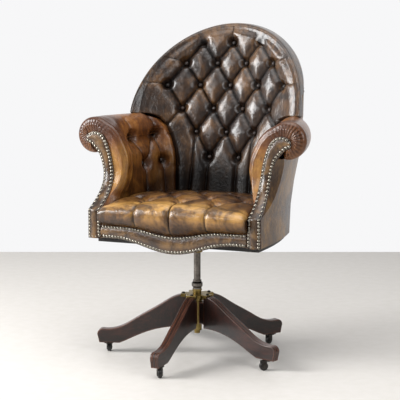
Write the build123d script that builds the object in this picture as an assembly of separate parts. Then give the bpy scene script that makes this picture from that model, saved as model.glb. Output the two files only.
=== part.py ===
from build123d import *
from math import atan2, cos, hypot, pi, radians, sin, sqrt
import os

# A buttoned leather desk chair on a swivel column and five castored legs.
# Millimetres. The origin is on the floor under the column, +Z is up and the front faces -Y.

# Clearances
running_clearance = 0.05
rest_gap = 0.3
overrun = 60.0
cutter_step = 5.0

# Legs
leg_names = ["front", "right_front", "right_rear", "left_rear", "left"]
front_leg_angle = -90
leg_reach = 302.0
leg_top = 184.0
leg_thickness = 25.0
leg_inner = 34.0
leg_foot = 31.0
leg_edge_radius = 2.5
leg_top_shares = [(0.199, 0.978), (0.371, 0.82), (0.596, 0.603), (0.758, 0.451), (0.944, 0.402)]
leg_nose_shares = [(0.99, 0.365), (1.0, 0.31)]
leg_toe_share = 0.98
leg_heel_share = 0.775
leg_under_shares = [(0.715, 0.212), (0.596, 0.304), (0.437, 0.402), (0.354, 0.435)]
leg_root_share = 0.462
reed_groove_width = 1.6
reed_groove_depth = 2.0
reed_groove_share = 0.42
tongue_thickness = 12.0
tongue_low_share = 0.52
tongue_high_share = 0.88

# Castors
castor_stem_circle = 268.0
castor_trail = 12.0
castor_trail_angles = [-55, -138, -106, 160, 112]
wheel_radius = 12.5
wheel_width = 11.0
wheel_edge_radius = 2.0
axle_radius = 2.0
cheek_thickness = 2.0
cheek_radius = 7.5
cheek_clearance = 0.5
axle_end = 0.8
crown_thickness = 2.4
crown_radius = 9.5
crown_clearance = 1.2
stem_radius = 4.0
stem_length = 26.0
socket_wall = 2.0
socket_flange_radius = 15.0
socket_flange_thickness = 2.0
socket_depth = 27.0

# Centre sleeve, saddle caps, screws and end nut
sleeve_bottom = 75.0
sleeve_top = 200.0
sleeve_low_radius = 14.0
sleeve_high_radius = 12.8
sleeve_floor = 4.0
flange_bottom = 167.0
flange_thickness = 7.0
flange_radius = 20.0
lip_height = 4.0
lip_radius = 14.2
nut_radius = 8.8
nut_height = 9.0
saddle_ring_radius = 25.0
saddle_thickness = 2.6
saddle_reach = 48.0
saddle_lip = 9.0
leg_screw_circle = 41.0
leg_screw_radius = 2.5
leg_screw_head_radius = 5.0
leg_screw_head_height = 3.6
leg_screw_length = 30.0

# Column
column_radius = 10.3
column_bottom_gap = 1.5
column_top = 346.5
column_ring_height = 27.0
column_ring_radius = 16.5
column_ring_neck = 13.0
washer_thickness = 5.0
washer_radius = 16.0

# Seat plate and bottom board
plate_top = 350.0
plate_thickness = 5.0
plate_width = 200.0
plate_depth = 150.0
boss_radius = 19.0
boss_length = 33.0
plate_screw_inset = 18.0
plate_screw_radius = 3.0
plate_screw_head_radius = 5.5
plate_screw_head_height = 3.0
plate_screw_length = 12.0
board_inset = 14.0
board_front = -150.0

# Tub: levels and outer shape
chair_height = 991.0
tub_bottom = 364.0
tub_front = -177.0
tub_levels = [364.0, 450.0, 521.0, 597.0, 715.0, 850.0, 1010.0]
tub_half_widths = [265.0, 267.0, 276.0, 291.0, 301.0, 301.0, 301.0]
tub_side_start = -100.0
tub_side_radius = 1170.0
tub_back_radius = 440.0
tub_corner_radius = 118.0
tub_rear_at_top = 341.0
tub_rear_slope = 0.137
skin_thickness = 4.0
frame_thickness = 24.0

# Tub: padded inside
pad_half_widths = [222.0, 222.0, 222.0, 223.0, 300.0, 312.0, 330.0]
pad_side_radius = 1170.0
pad_back_radius = 400.0
pad_corner_radius = 110.0
pad_reference_level = 656.0
pad_rear_at_reference = 217.0
pad_rear_slope = 0.224

# Arch of the back
arch_radius = 276.0
arch_centre = 715.0
band_thickness = 4.0

# Arms
arm_front = -86.0
arm_sweep = 91.0
arm_sweep_power = 2.2
arm_sweep_low = 447.0
arm_sweep_high = 562.0
roll_front_x = 300.0
roll_front_z = 655.0
roll_front_radius = 53.0
roll_rear_x = 232.0
roll_rear_y = 172.0
roll_rear_z = 668.0
roll_rear_radius = 46.0
arm_rail_radius = 15.0
arm_rail_front_gap = 30.0
post_depth = 24.0
seam_shares = [(0.455, 0.38), (0.465, 0.465), (0.477, 0.673), (0.5, 0.81), (0.55, 0.948), (0.603, 1.069),
               (0.673, 1.148), (0.78, 1.2)]
side_seam_y = 128.0
side_top_share = 0.93
swell_full_y = -60.0
swell_end_y = 15.0
swell_keep_shares = [1.0, 1.0, 0.7, 0.05]
swell_root_share = 0.83
swell_inner_shares = [(0.783, 0.399), (0.703, 0.443), (0.657, 0.56), (0.633, 0.708), (0.643, 0.801),
                      (0.68, 0.904), (0.73, 1.01), (0.8, 1.1), (0.95, 1.151)]
swell_outer_shares = [(0.93, 0.775)]

# Arm facings
facing_thickness = 4.0
facing_outer_shares = [(0.893, 0.285), (0.887, 0.674), (0.9, 0.735), (0.93, 0.818), (0.98, 0.88),
                       (1.027, 0.921)]
facing_end_shares = [(1.062, 0.935), (1.072, 0.975), (1.058, 1.015)]
facing_inner_shares = [(1.01, 1.041), (0.95, 1.045), (0.887, 1.01), (0.84, 0.938), (0.8, 0.811),
                       (0.777, 0.69), (0.763, 0.54), (0.76, 0.344)]
facing_foot_share = 0.755
corner_slant_share = 0.45

# Front rail
rail_thickness = 24.0
rail_proud = 2.0
rail_half_width = 226.0
rail_low_middle = 332.0
rail_low_end = 366.0
rail_low_wave = 185.0
rail_high_middle = 384.0
rail_high_end = 404.0
rail_high_wave = 150.0

# Seat frame and webbing
seat_frame_top = 384.0
seat_frame_width = 45.0
webbing_thickness = 6.0

# Seat cushion
seat_height = 482.0
seat_edge_height = 468.0
seat_nose_y = -205.0
seat_nose_height = 440.0
seat_nose_top = 471.0
seat_nose_back = -168.0
seat_crest_y = -70.0
seat_rear_height = 470.0
seat_clearance = 0.5
seat_row_starts = [-125.0, -45.0, 35.0, 112.0]
seat_tuft_pitch = 110.0
seat_tuft_depth = 12.0
pleat_radius = 5.0
pleat_low = 406.0

# Tufting of the back and arms
back_rows = [932.0, 868.0, 800.0, 728.0, 655.0, 578.0]
back_row_counts = [3, 4, 5, 4, 3, 2]
back_tuft_pitch = 94.0
tuft_depth = 15.0
tuft_radius = 27.0
crease_radius = 5.0
crease_lift = 1.0
arm_tufts = [(40.0, 638.0), (134.0, 636.0), (84.0, 560.0), (150.0, 565.0)]
button_radius = 7.0
button_height = 5.0

# Nails
nail_radius = 4.6
nail_height = 2.6
nail_pitch = 9.6
nail_inset = 6.0
band_nail_inset = 11.0
band_nail_turn = 75.0
slope_step = 1.5


def save(name, shape):
    shape.label = name
    export_step(shape, f"parts/{name}.step")
    print(f"{name}: {len(shape.solids())} solid(s)")


def group(shapes):
    """Separate solids kept together as one node."""
    return Compound(obj=[solid for shape in shapes for solid in shape.solids()])


def turned(outline):
    """A solid turned about Z from (radius, height) points."""
    points = [(radius, 0, height) for radius, height in outline]
    return revolve(make_face(Polyline(*points, close=True)), Axis.Z)


def drum(radius, low, high):
    """A plain round bar on the Z axis between two heights."""
    return Pos(0, 0, low) * Cylinder(radius, high - low, align=(Align.CENTER, Align.CENTER, Align.MIN))


def block(low, high):
    """A box between two corners."""
    size = [b - a for a, b in zip(low, high)]
    return Pos(*low) * Box(*size, align=Align.MIN)


# Base


def leg_outline():
    """The leg's side view, from the joint at the sleeve to the rounded nose and back along the underside."""
    top_points = [(leg_inner, 0, leg_top)] + [(r * leg_reach, 0, z * leg_top) for r, z in leg_top_shares]
    nose = [(r * leg_reach, 0, z * leg_top) for r, z in leg_nose_shares]
    toe = (leg_toe_share * leg_reach, 0, leg_foot)
    heel = (leg_heel_share * leg_reach, 0, leg_foot)
    under = [(r * leg_reach, 0, z * leg_top) for r, z in leg_under_shares]
    root = (leg_inner, 0, leg_root_share * leg_top)
    return make_face([
        Spline(*top_points),
        ThreePointArc(top_points[-1], *nose),
        Line(nose[-1], toe),
        Line(toe, heel),
        Spline(heel, *under, root),
        Line(root, top_points[0]),
    ])


def leg():
    """One leg along +X: sawn blank with rounded edges, two reeding grooves and a tongue into the sleeve."""
    outline = leg_outline()
    blank = extrude(outline, leg_thickness / 2, both=True)
    sides = blank.faces().sort_by(Axis.Y)
    blank = fillet(sides[0].edges() + sides[-1].edges(), leg_edge_radius)
    strip = outline - Pos(-reed_groove_depth, 0, -reed_groove_depth) * outline
    groove = extrude(strip, reed_groove_width / 2, both=True)
    for side in (-1, 1):
        blank -= Pos(0, side * reed_groove_share * leg_thickness / 2, 0) * groove
    tongue = block((0, -tongue_thickness / 2, tongue_low_share * leg_top),
                   (leg_inner + leg_edge_radius, tongue_thickness / 2, tongue_high_share * leg_top))
    blank = blank + tongue - drum(sleeve_low_radius, 0, leg_top)
    blank -= Pos(castor_stem_circle, 0, 0) * drum(stem_radius + socket_wall, 0, leg_foot + socket_depth)
    screw_hole_bottom = leg_top + saddle_thickness - leg_screw_length
    return blank - Pos(leg_screw_circle, 0, 0) * drum(leg_screw_radius, screw_hole_bottom, leg_top + overrun)


def leg_turns():
    """The five leg directions, in degrees."""
    return [front_leg_angle + number * 360 / len(leg_names) for number in range(len(leg_names))]


def sleeve():
    flange_top = flange_bottom + flange_thickness
    bore = column_radius + running_clearance
    return turned([
        (0, sleeve_bottom), (sleeve_low_radius, sleeve_bottom), (sleeve_low_radius, flange_bottom),
        (flange_radius, flange_bottom), (flange_radius, flange_top), (sleeve_high_radius, flange_top),
        (sleeve_high_radius, sleeve_top - lip_height), (lip_radius, sleeve_top - lip_height),
        (lip_radius, sleeve_top), (bore, sleeve_top), (bore, sleeve_bottom + sleeve_floor),
        (0, sleeve_bottom + sleeve_floor),
    ])


def saddle():
    """Brass ring round the sleeve with a cap over the top of each leg."""
    flange_top = flange_bottom + flange_thickness
    cap_top = leg_top + saddle_thickness
    half = leg_thickness / 2
    shape = drum(saddle_ring_radius, flange_top, cap_top)
    cap = block((0, -half - saddle_thickness, leg_top), (saddle_reach, half + saddle_thickness, cap_top))
    for side in (-1, 1):
        inner = side * half
        outer = side * (half + saddle_thickness)
        cap += block((leg_inner, min(inner, outer), cap_top - saddle_lip),
                     (saddle_reach, max(inner, outer), cap_top))
    cap -= Pos(leg_screw_circle, 0, 0) * drum(leg_screw_radius, leg_top - overrun, cap_top + overrun)
    for turn in leg_turns():
        shape += Rot(0, 0, turn) * cap
    for turn in leg_turns():
        shape -= Rot(0, 0, turn) * block((0, -tongue_thickness / 2, 0),
                                         (leg_inner, tongue_thickness / 2, tongue_high_share * leg_top))
    return shape - drum(sleeve_high_radius, 0, cap_top + overrun)


def leg_screw():
    cap_top = leg_top + saddle_thickness
    return turned([
        (0, cap_top - leg_screw_length), (leg_screw_radius, cap_top - leg_screw_length),
        (leg_screw_radius, cap_top), (leg_screw_head_radius, cap_top),
        (leg_screw_head_radius, cap_top + leg_screw_head_height / 2),
        (leg_screw_head_radius / 2, cap_top + leg_screw_head_height), (0, cap_top + leg_screw_head_height),
    ])


def castor_socket():
    """Top-hat socket pressed into the leg's foot."""
    bore = stem_radius + running_clearance
    low = leg_foot - socket_flange_thickness
    return turned([
        (bore, low), (socket_flange_radius, low), (socket_flange_radius, leg_foot),
        (stem_radius + socket_wall, leg_foot), (stem_radius + socket_wall, leg_foot + socket_depth),
        (bore, leg_foot + socket_depth),
    ])


def castor_fork():
    """Fork of a castor whose stem stands on the Z axis and whose wheel trails along +X."""
    crown_low = 2 * wheel_radius + crown_clearance
    crown_high = crown_low + crown_thickness
    half_gap = wheel_width / 2 + cheek_clearance
    fork = drum(crown_radius, crown_low, crown_high)
    fork += block((0, -half_gap - cheek_thickness, crown_low),
                  (castor_trail + cheek_radius, half_gap + cheek_thickness, crown_high))
    for side in (-1, 1):
        near = side * half_gap
        far = side * (half_gap + cheek_thickness)
        fork += block((castor_trail - cheek_radius, min(near, far), wheel_radius),
                      (castor_trail + cheek_radius, max(near, far), crown_high))
        disc = Rot(90, 0, 0) * Cylinder(cheek_radius, cheek_thickness)
        fork += Pos(castor_trail, (near + far) / 2, wheel_radius) * disc
    fork += drum(stem_radius, crown_high, leg_foot - socket_flange_thickness + stem_length)
    return fork - Pos(castor_trail, 0, wheel_radius) * axle_bar(axle_radius)


def axle_bar(radius):
    reach = wheel_width + 2 * (cheek_clearance + cheek_thickness + axle_end)
    return Rot(90, 0, 0) * Cylinder(radius, reach)


def castor_wheel():
    wheel = Cylinder(wheel_radius, wheel_width)
    wheel = fillet(wheel.edges(), wheel_edge_radius)
    wheel -= Cylinder(axle_radius + running_clearance, wheel_width + overrun)
    return Pos(castor_trail, 0, wheel_radius) * (Rot(90, 0, 0) * wheel)


def make_base():
    one_leg = leg()
    for name, turn in zip(leg_names, leg_turns()):
        save(f"leg_{name}", Rot(0, 0, turn) * one_leg)
    save("centre_sleeve", sleeve())
    save("end_nut", drum(nut_radius, sleeve_bottom - nut_height, sleeve_bottom))
    save("leg_saddle", saddle())
    screw = Pos(leg_screw_circle, 0, 0) * leg_screw()
    save("leg_screws", group([Rot(0, 0, turn) * screw for turn in leg_turns()]))
    socket = Pos(castor_stem_circle, 0, 0) * castor_socket()
    save("castor_sockets", group([Rot(0, 0, turn) * socket for turn in leg_turns()]))
    fork = castor_fork()
    wheel = castor_wheel()
    axle = Pos(castor_trail, 0, wheel_radius) * axle_bar(axle_radius)
    for name, turn, trail in zip(leg_names, leg_turns(), castor_trail_angles):
        stem = Rot(0, 0, turn) * Pos(castor_stem_circle, 0, 0)
        place = Pos(*stem.position) * Rot(0, 0, trail)
        save(f"castor_fork_{name}", place * fork)
        save(f"castor_axle_{name}", place * axle)
        save(f"castor_wheel_{name}", place * wheel)


# Column


def make_column():
    bottom = sleeve_bottom + sleeve_floor + column_bottom_gap
    save("column", drum(column_radius, bottom, column_top))
    low = sleeve_top + rest_gap
    high = low + column_ring_height
    save("column_ring", turned([
        (column_radius, low), (column_ring_neck, low), (column_ring_neck, low + column_ring_height / 6),
        (column_ring_radius, low + column_ring_height / 3),
        (column_ring_radius, high - column_ring_height / 3),
        (column_ring_neck, high - column_ring_height / 6), (column_ring_neck, high), (column_radius, high),
    ]))
    washer_top = plate_top - boss_length - rest_gap
    save("thrust_washer", drum(washer_radius, washer_top - washer_thickness, washer_top)
         - drum(column_radius, 0, column_top))


# Tub outlines


def between(level, levels, values):
    """Straight-line reading of a value from a table of levels."""
    if level <= levels[0]:
        return values[0]
    for low, high, first, last in zip(levels, levels[1:], values, values[1:]):
        if level <= high:
            return first + (last - first) * (level - low) / (high - low)
    return values[-1]


def outer_plan(level, inset):
    """Sizes of the tub's outline at one level, moved inwards by an inset."""
    return {
        "side": between(level, tub_levels, tub_half_widths) - inset,
        "side_radius": tub_side_radius - inset,
        "rear": tub_rear_at_top - tub_rear_slope * (chair_height - level) - inset,
        "back_radius": tub_back_radius - inset,
        "corner_radius": tub_corner_radius - inset,
    }


def pad_plan(level, inset):
    """Sizes of the padded inside at one level, moved inwards by an inset."""
    return {
        "side": between(level, tub_levels, pad_half_widths) - inset,
        "side_radius": pad_side_radius - inset,
        "rear": pad_rear_at_reference + pad_rear_slope * (level - pad_reference_level) - inset,
        "back_radius": pad_back_radius - inset,
        "corner_radius": pad_corner_radius - inset,
    }


def corner_centre(plan):
    """Centre of the corner arc that touches both the bowed side and the bowed back."""
    side_x = plan["side"] - plan["side_radius"]
    back_y = plan["rear"] - plan["back_radius"]
    side_reach = plan["side_radius"] - plan["corner_radius"]
    back_reach = plan["back_radius"] - plan["corner_radius"]
    apart = hypot(side_x, back_y - tub_side_start)
    along = (apart ** 2 + side_reach ** 2 - back_reach ** 2) / (2 * apart)
    across = sqrt(side_reach ** 2 - along ** 2)
    step_x = -side_x / apart
    step_y = (back_y - tub_side_start) / apart
    return (side_x + along * step_x + across * abs(step_y) * (1 if step_y < 0 else -1),
            tub_side_start + along * step_y + across * abs(step_x))


def plan_points(plan):
    """Joins and middles of the right-hand arcs, as (x, y)."""
    cx, cy = corner_centre(plan)
    side_x = plan["side"] - plan["side_radius"]
    back_y = plan["rear"] - plan["back_radius"]
    side_turn = atan2(cy - tub_side_start, cx - side_x)
    back_turn = atan2(cy - back_y, cx)
    middle_turn = (side_turn + back_turn) / 2

    def on(centre_x, centre_y, radius, turn):
        return centre_x + radius * cos(turn), centre_y + radius * sin(turn)

    return {
        "side_middle": on(side_x, tub_side_start, plan["side_radius"], side_turn / 2),
        "side_end": on(side_x, tub_side_start, plan["side_radius"], side_turn),
        "corner_middle": on(cx, cy, plan["corner_radius"], middle_turn),
        "back_start": on(cx, cy, plan["corner_radius"], back_turn),
    }


def plan_face(plan, level, front):
    """The tub's outline at one level as a face."""
    points = plan_points(plan)

    def right(name):
        x, y = points[name]
        return x, y, level

    def left(name):
        x, y = points[name]
        return -x, y, level

    side = plan["side"]
    return make_face([
        Line((-side, front, level), (side, front, level)),
        Line((side, front, level), (side, tub_side_start, level)),
        ThreePointArc((side, tub_side_start, level), right("side_middle"), right("side_end")),
        ThreePointArc(right("side_end"), right("corner_middle"), right("back_start")),
        ThreePointArc(right("back_start"), (0, plan["rear"], level), left("back_start")),
        ThreePointArc(left("back_start"), left("corner_middle"), left("side_end")),
        ThreePointArc(left("side_end"), left("side_middle"), (-side, tub_side_start, level)),
        Line((-side, tub_side_start, level), (-side, front, level)),
    ])


def tub_solid(plan, inset, stretch):
    """The space inside an outline, lofted through the levels, with its ends and front stretched."""
    levels = [tub_levels[0] - stretch] + tub_levels[1:-1] + [tub_levels[-1] + stretch]
    front = tub_front - overrun - stretch
    return loft([plan_face(plan(level, inset), level, front) for level in levels], ruled=True)


def front_corner(inset):
    """Everything inside the slanted corner behind the right facing's outer edge, less an inset."""
    start = tub_front - 2 * overrun
    wide = 2 * (roll_front_x + overrun)
    edge = []
    for x_share, z_share in facing_outer_shares:
        x, y, z = roll_share_point(x_share, z_share, start)
        edge.append((x - inset + corner_slant_share * (start - front_y(z)), y, z))
    low = (edge[0][0], start, tub_bottom - 2 * overrun)
    high = (edge[-1][0], start, chair_height + 2 * overrun)
    face = make_face([
        Line(low, edge[0]),
        Spline(*edge),
        Line(edge[-1], high),
        Line(high, (-wide, start, high[2])),
        Line((-wide, start, high[2]), (-wide, start, low[2])),
        Line((-wide, start, low[2]), low),
    ])
    return extrude(face, 2 * wide, dir=(corner_slant_share, 1, 0))


def tub_space(inset, stretch):
    """The tub's outer shape with its front corners, moved inwards by an inset."""
    corner = front_corner(inset)
    return tub_solid(outer_plan, inset, stretch) & corner & mirrored(corner)


def outline_x(plan, y):
    """Half width of an outline at one depth."""
    cx, cy = corner_centre(plan)
    side_x = plan["side"] - plan["side_radius"]
    if y <= tub_side_start:
        return plan["side"]
    if y <= plan_points(plan)["side_end"][1]:
        return side_x + sqrt(plan["side_radius"] ** 2 - (y - tub_side_start) ** 2)
    return cx + sqrt(plan["corner_radius"] ** 2 - (y - cy) ** 2)


def outline_y(plan, x):
    """Depth of an outline at one distance from the middle, on the back arc or the corner."""
    cx, cy = corner_centre(plan)
    if abs(x) <= plan_points(plan)["back_start"][0]:
        return plan["rear"] - plan["back_radius"] + sqrt(plan["back_radius"] ** 2 - x ** 2)
    return cy + sqrt(plan["corner_radius"] ** 2 - (abs(x) - cx) ** 2)


def front_y(level):
    """Front of the arm at one height: the post, the hollow sweep and the upright below the roll."""
    share = (level - arm_sweep_low) / (arm_sweep_high - arm_sweep_low)
    return arm_front - arm_sweep * (1 - min(max(share, 0), 1)) ** arm_sweep_power


def side_prism(shift, low):
    """Everything behind the arm's front, moved back by a shift, from a low level upwards."""
    top = chair_height + overrun
    steps = 12
    span = arm_sweep_high - arm_sweep_low
    curve = [(0, front_y(arm_sweep_low + span * n / steps) + shift, arm_sweep_low + span * n / steps)
             for n in range(steps + 1)]
    rear = tub_rear_at_top + overrun
    face = make_face([
        Line((0, tub_front + shift, low), curve[0]),
        Spline(*curve, tangents=[(0, arm_sweep * arm_sweep_power / span, 1), (0, 0, 1)]),
        Line(curve[-1], (0, arm_front + shift, top)),
        Line((0, arm_front + shift, top), (0, rear, top)),
        Line((0, rear, top), (0, rear, low)),
        Line((0, rear, low), (0, tub_front + shift, low)),
    ])
    return extrude(face, roll_front_x + roll_front_radius + overrun, both=True)


def arch_prism(radius):
    """Everything under the arch of the back, seen from the front."""
    low = tub_bottom - overrun
    reach = tub_rear_at_top + overrun
    disc = Pos(0, 0, arch_centre) * (Rot(90, 0, 0) * Cylinder(radius, 2 * reach))
    return disc + block((-radius, -reach, low), (radius, reach, arch_centre))


def roll_share_point(x_share, z_share, y):
    """A point given by shares of the roll's place."""
    return x_share * roll_front_x, y, tub_bottom + z_share * (roll_front_z - tub_bottom)


def back_zone():
    """The part of the padding that belongs to the back, seen from the front."""
    top = chair_height + overrun
    wide = roll_front_x + overrun
    y = tub_front - overrun
    right = [roll_share_point(x, z, y) for x, z in seam_shares]
    low_z = tub_bottom - overrun
    left = [(-x, py, z) for x, py, z in reversed(right)]
    face = make_face([
        Line((-right[0][0], y, low_z), (right[0][0], y, low_z)),
        Line((right[0][0], y, low_z), right[0]),
        Spline(*right),
        Line(right[-1], (wide, y, right[-1][2])),
        Line((wide, y, right[-1][2]), (wide, y, top)),
        Line((wide, y, top), (-wide, y, top)),
        Line((-wide, y, top), (-wide, y, right[-1][2])),
        Line((-wide, y, right[-1][2]), left[0]),
        Spline(*left),
        Line(left[-1], (-right[0][0], y, low_z)),
    ])
    return extrude(face, 2 * (tub_rear_at_top + overrun), dir=(0, 1, 0))


def roll_solid(radius_drop, front, rear_drop):
    """The arm roll as a tapering bar from the front of the arm into the back, on the right."""
    start = Vector(roll_front_x, arm_front, roll_front_z)
    end = Vector(roll_rear_x, roll_rear_y - rear_drop, roll_rear_z)
    along = end - start
    begin = start + along * (front / along.Y)
    first = Plane(origin=begin, z_dir=(0, 1, 0)) * Circle(roll_front_radius - radius_drop)
    last = Plane(origin=end, z_dir=(0, 1, 0)) * Circle(roll_rear_radius - radius_drop)
    return loft([first, last])


# Tufts, buttons and nails


def aim(point, normal):
    """Location at a point with +Z along a normal."""
    return Plane(origin=point, z_dir=normal).location


def pad_normal(x, level):
    """Direction out of the back's padded face towards the sitter."""
    plan = pad_plan(level, 0)
    flat_y = sqrt(plan["back_radius"] ** 2 - x ** 2)
    towards = Vector(-x, -flat_y, 0).normalized()
    return (towards + Vector(0, 0, pad_rear_slope)).normalized()


def back_tufts():
    """Button places on the back's padded face, row by row."""
    rows = []
    for level, count in zip(back_rows, back_row_counts):
        xs = [(n - (count - 1) / 2) * back_tuft_pitch for n in range(count)]
        rows.append([Vector(x, outline_y(pad_plan(level, 0), x), level) for x in xs])
    return rows


def neighbours(rows, pitch):
    """Pairs of tufts in touching rows that a crease joins."""
    pairs = []
    for upper, lower in zip(rows, rows[1:]):
        for a in upper:
            for b in lower:
                if abs(a.X - b.X) < 0.75 * pitch:
                    pairs.append((a, b))
    return pairs


def dimple(point, normal, depth, radius):
    return Pos(*(point + normal * (radius - depth))) * Sphere(radius)


def crease(a, b, lift):
    """Round cutter along the straight line between two tufts."""
    along = b - a
    bar = Cylinder(crease_radius, along.length, align=(Align.CENTER, Align.CENTER, Align.MIN))
    return aim(a + lift, along) * bar


def dome(radius, height):
    """A low round dome on its flat face, part of a ball."""
    ball = (radius ** 2 + height ** 2) / (2 * height)
    half_turn = atan2(radius, ball - height) / 2
    middle = (ball * sin(half_turn), 0, height - ball + ball * cos(half_turn))
    return revolve(make_face([
        Line((0, 0, 0), (radius, 0, 0)),
        ThreePointArc((radius, 0, 0), middle, (0, 0, height)),
        Line((0, 0, height), (0, 0, 0)),
    ]), Axis.Z)


def button(point, normal, depth):
    """Covered button, seated by its edge in a dimple of a given depth."""
    seat = depth - tuft_radius + sqrt(tuft_radius ** 2 - button_radius ** 2) - rest_gap
    return aim(point - normal * seat, normal) * dome(button_radius, button_height)


def nail(point, normal):
    """Round nail head."""
    return aim(point, normal) * dome(nail_radius, nail_height)


def mirrored(shape):
    return mirror(shape, about=Plane.YZ)


# Front rail


def rail_low(x):
    """Serpentine lower edge of the front rail."""
    if abs(x) >= rail_low_wave:
        return rail_low_end
    return rail_low_middle + (rail_low_end - rail_low_middle) * (1 - cos(pi * x / rail_low_wave)) / 2


def rail_high(x):
    """Upper edge of the front rail, under the seat."""
    if abs(x) >= rail_high_wave:
        return rail_high_end
    return rail_high_middle + (rail_high_end - rail_high_middle) * (1 - cos(pi * x / rail_high_wave)) / 2


def rail_edge(height, wave, y, half):
    """The three edges of a rail border: a level end, the wave and another level end."""
    steps = 16
    places = [wave * (2 * n / steps - 1) for n in range(steps + 1)]
    wave_points = [(x, y, height(x)) for x in places]
    return [
        Line((-half, y, height(half)), wave_points[0]),
        Spline(*wave_points, tangents=[(1, 0, 0), (1, 0, 0)]),
        Line(wave_points[-1], (half, y, height(half))),
    ]


def front_rail():
    y = tub_front - rail_proud
    half = rail_half_width
    edges = rail_edge(rail_low, rail_low_wave, y, half) + rail_edge(rail_high, rail_high_wave, y, half)
    ends = [Line((side * half, y, rail_low(half)), (side * half, y, rail_high(half))) for side in (-1, 1)]
    return extrude(make_face(edges + ends), rail_proud + rail_thickness, dir=(0, 1, 0))


def nail_row(height, drop, half):
    """Nail places along a rail border."""
    y = tub_front - rail_proud
    places = []
    x = 0
    while x <= half:
        places += [(side * x, y, height(x) + drop) for side in ((-1, 1) if x else (1,))]
        rise = (height(x + slope_step) - height(x)) / slope_step
        x += nail_pitch / hypot(1, rise)
    return places


# Arm facing


def facing_edges():
    y = tub_front - overrun
    outer = [roll_share_point(x, z, y) for x, z in facing_outer_shares]
    end = [roll_share_point(x, z, y) for x, z in facing_end_shares]
    inner = [roll_share_point(x, z, y) for x, z in facing_inner_shares]
    foot_out = (outer[0][0], y, tub_bottom)
    foot_in = (facing_foot_share * roll_front_x, y, tub_bottom)
    return {
        "post_out": Line(foot_out, outer[0]),
        "outer": Spline(*outer, end[0]),
        "end": ThreePointArc(*end),
        "inner": Spline(end[-1], *inner),
        "post_in": Line(inner[-1], foot_in),
        "foot": Line(foot_in, foot_out),
    }


def arm_facing():
    """Leather strip over the front of the arm, bent to the sweep, on the right."""
    outline = extrude(make_face(list(facing_edges().values())), 2 * (overrun + arm_sweep), dir=(0, 1, 0))
    skin = side_prism(-facing_thickness, tub_bottom) - side_prism(0, tub_bottom)
    return outline & skin


def inset_places(edges, margin):
    """Nail places inside joined edges of the facing, seen from the front, a pitch apart."""
    steps = 400
    places = []
    start = None
    for edge in edges:
        for n in range(steps):
            point = edge @ (n / steps)
            tangent = edge % (n / steps)
            place = Vector(point.X - tangent.Z * nail_inset, 0, point.Z + tangent.X * nail_inset)
            start = start or place
            if (place - start).length < margin:
                continue
            if not places or (place - places[-1]).length >= nail_pitch:
                places.append(place)
    return places


def facing_nails():
    """Nails inside the facing's edges, on the right: up, round the tip and down, then along the foot."""
    edges = facing_edges()
    around = [edges[name] for name in ("post_out", "outer", "end", "inner", "post_in")]
    foot = inset_places([edges["foot"]], nail_inset + nail_pitch)
    heads = []
    for place in inset_places(around, nail_pitch / 2) + foot[:-1]:
        slope = (front_y(place.Z + slope_step) - front_y(place.Z - slope_step)) / (2 * slope_step)
        normal = Vector(0, -1, slope).normalized()
        face = Vector(place.X, front_y(place.Z) - facing_thickness, place.Z)
        heads.append(nail(face + normal * (nail_height / 10), normal))
    return heads


# Tub assembly


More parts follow.
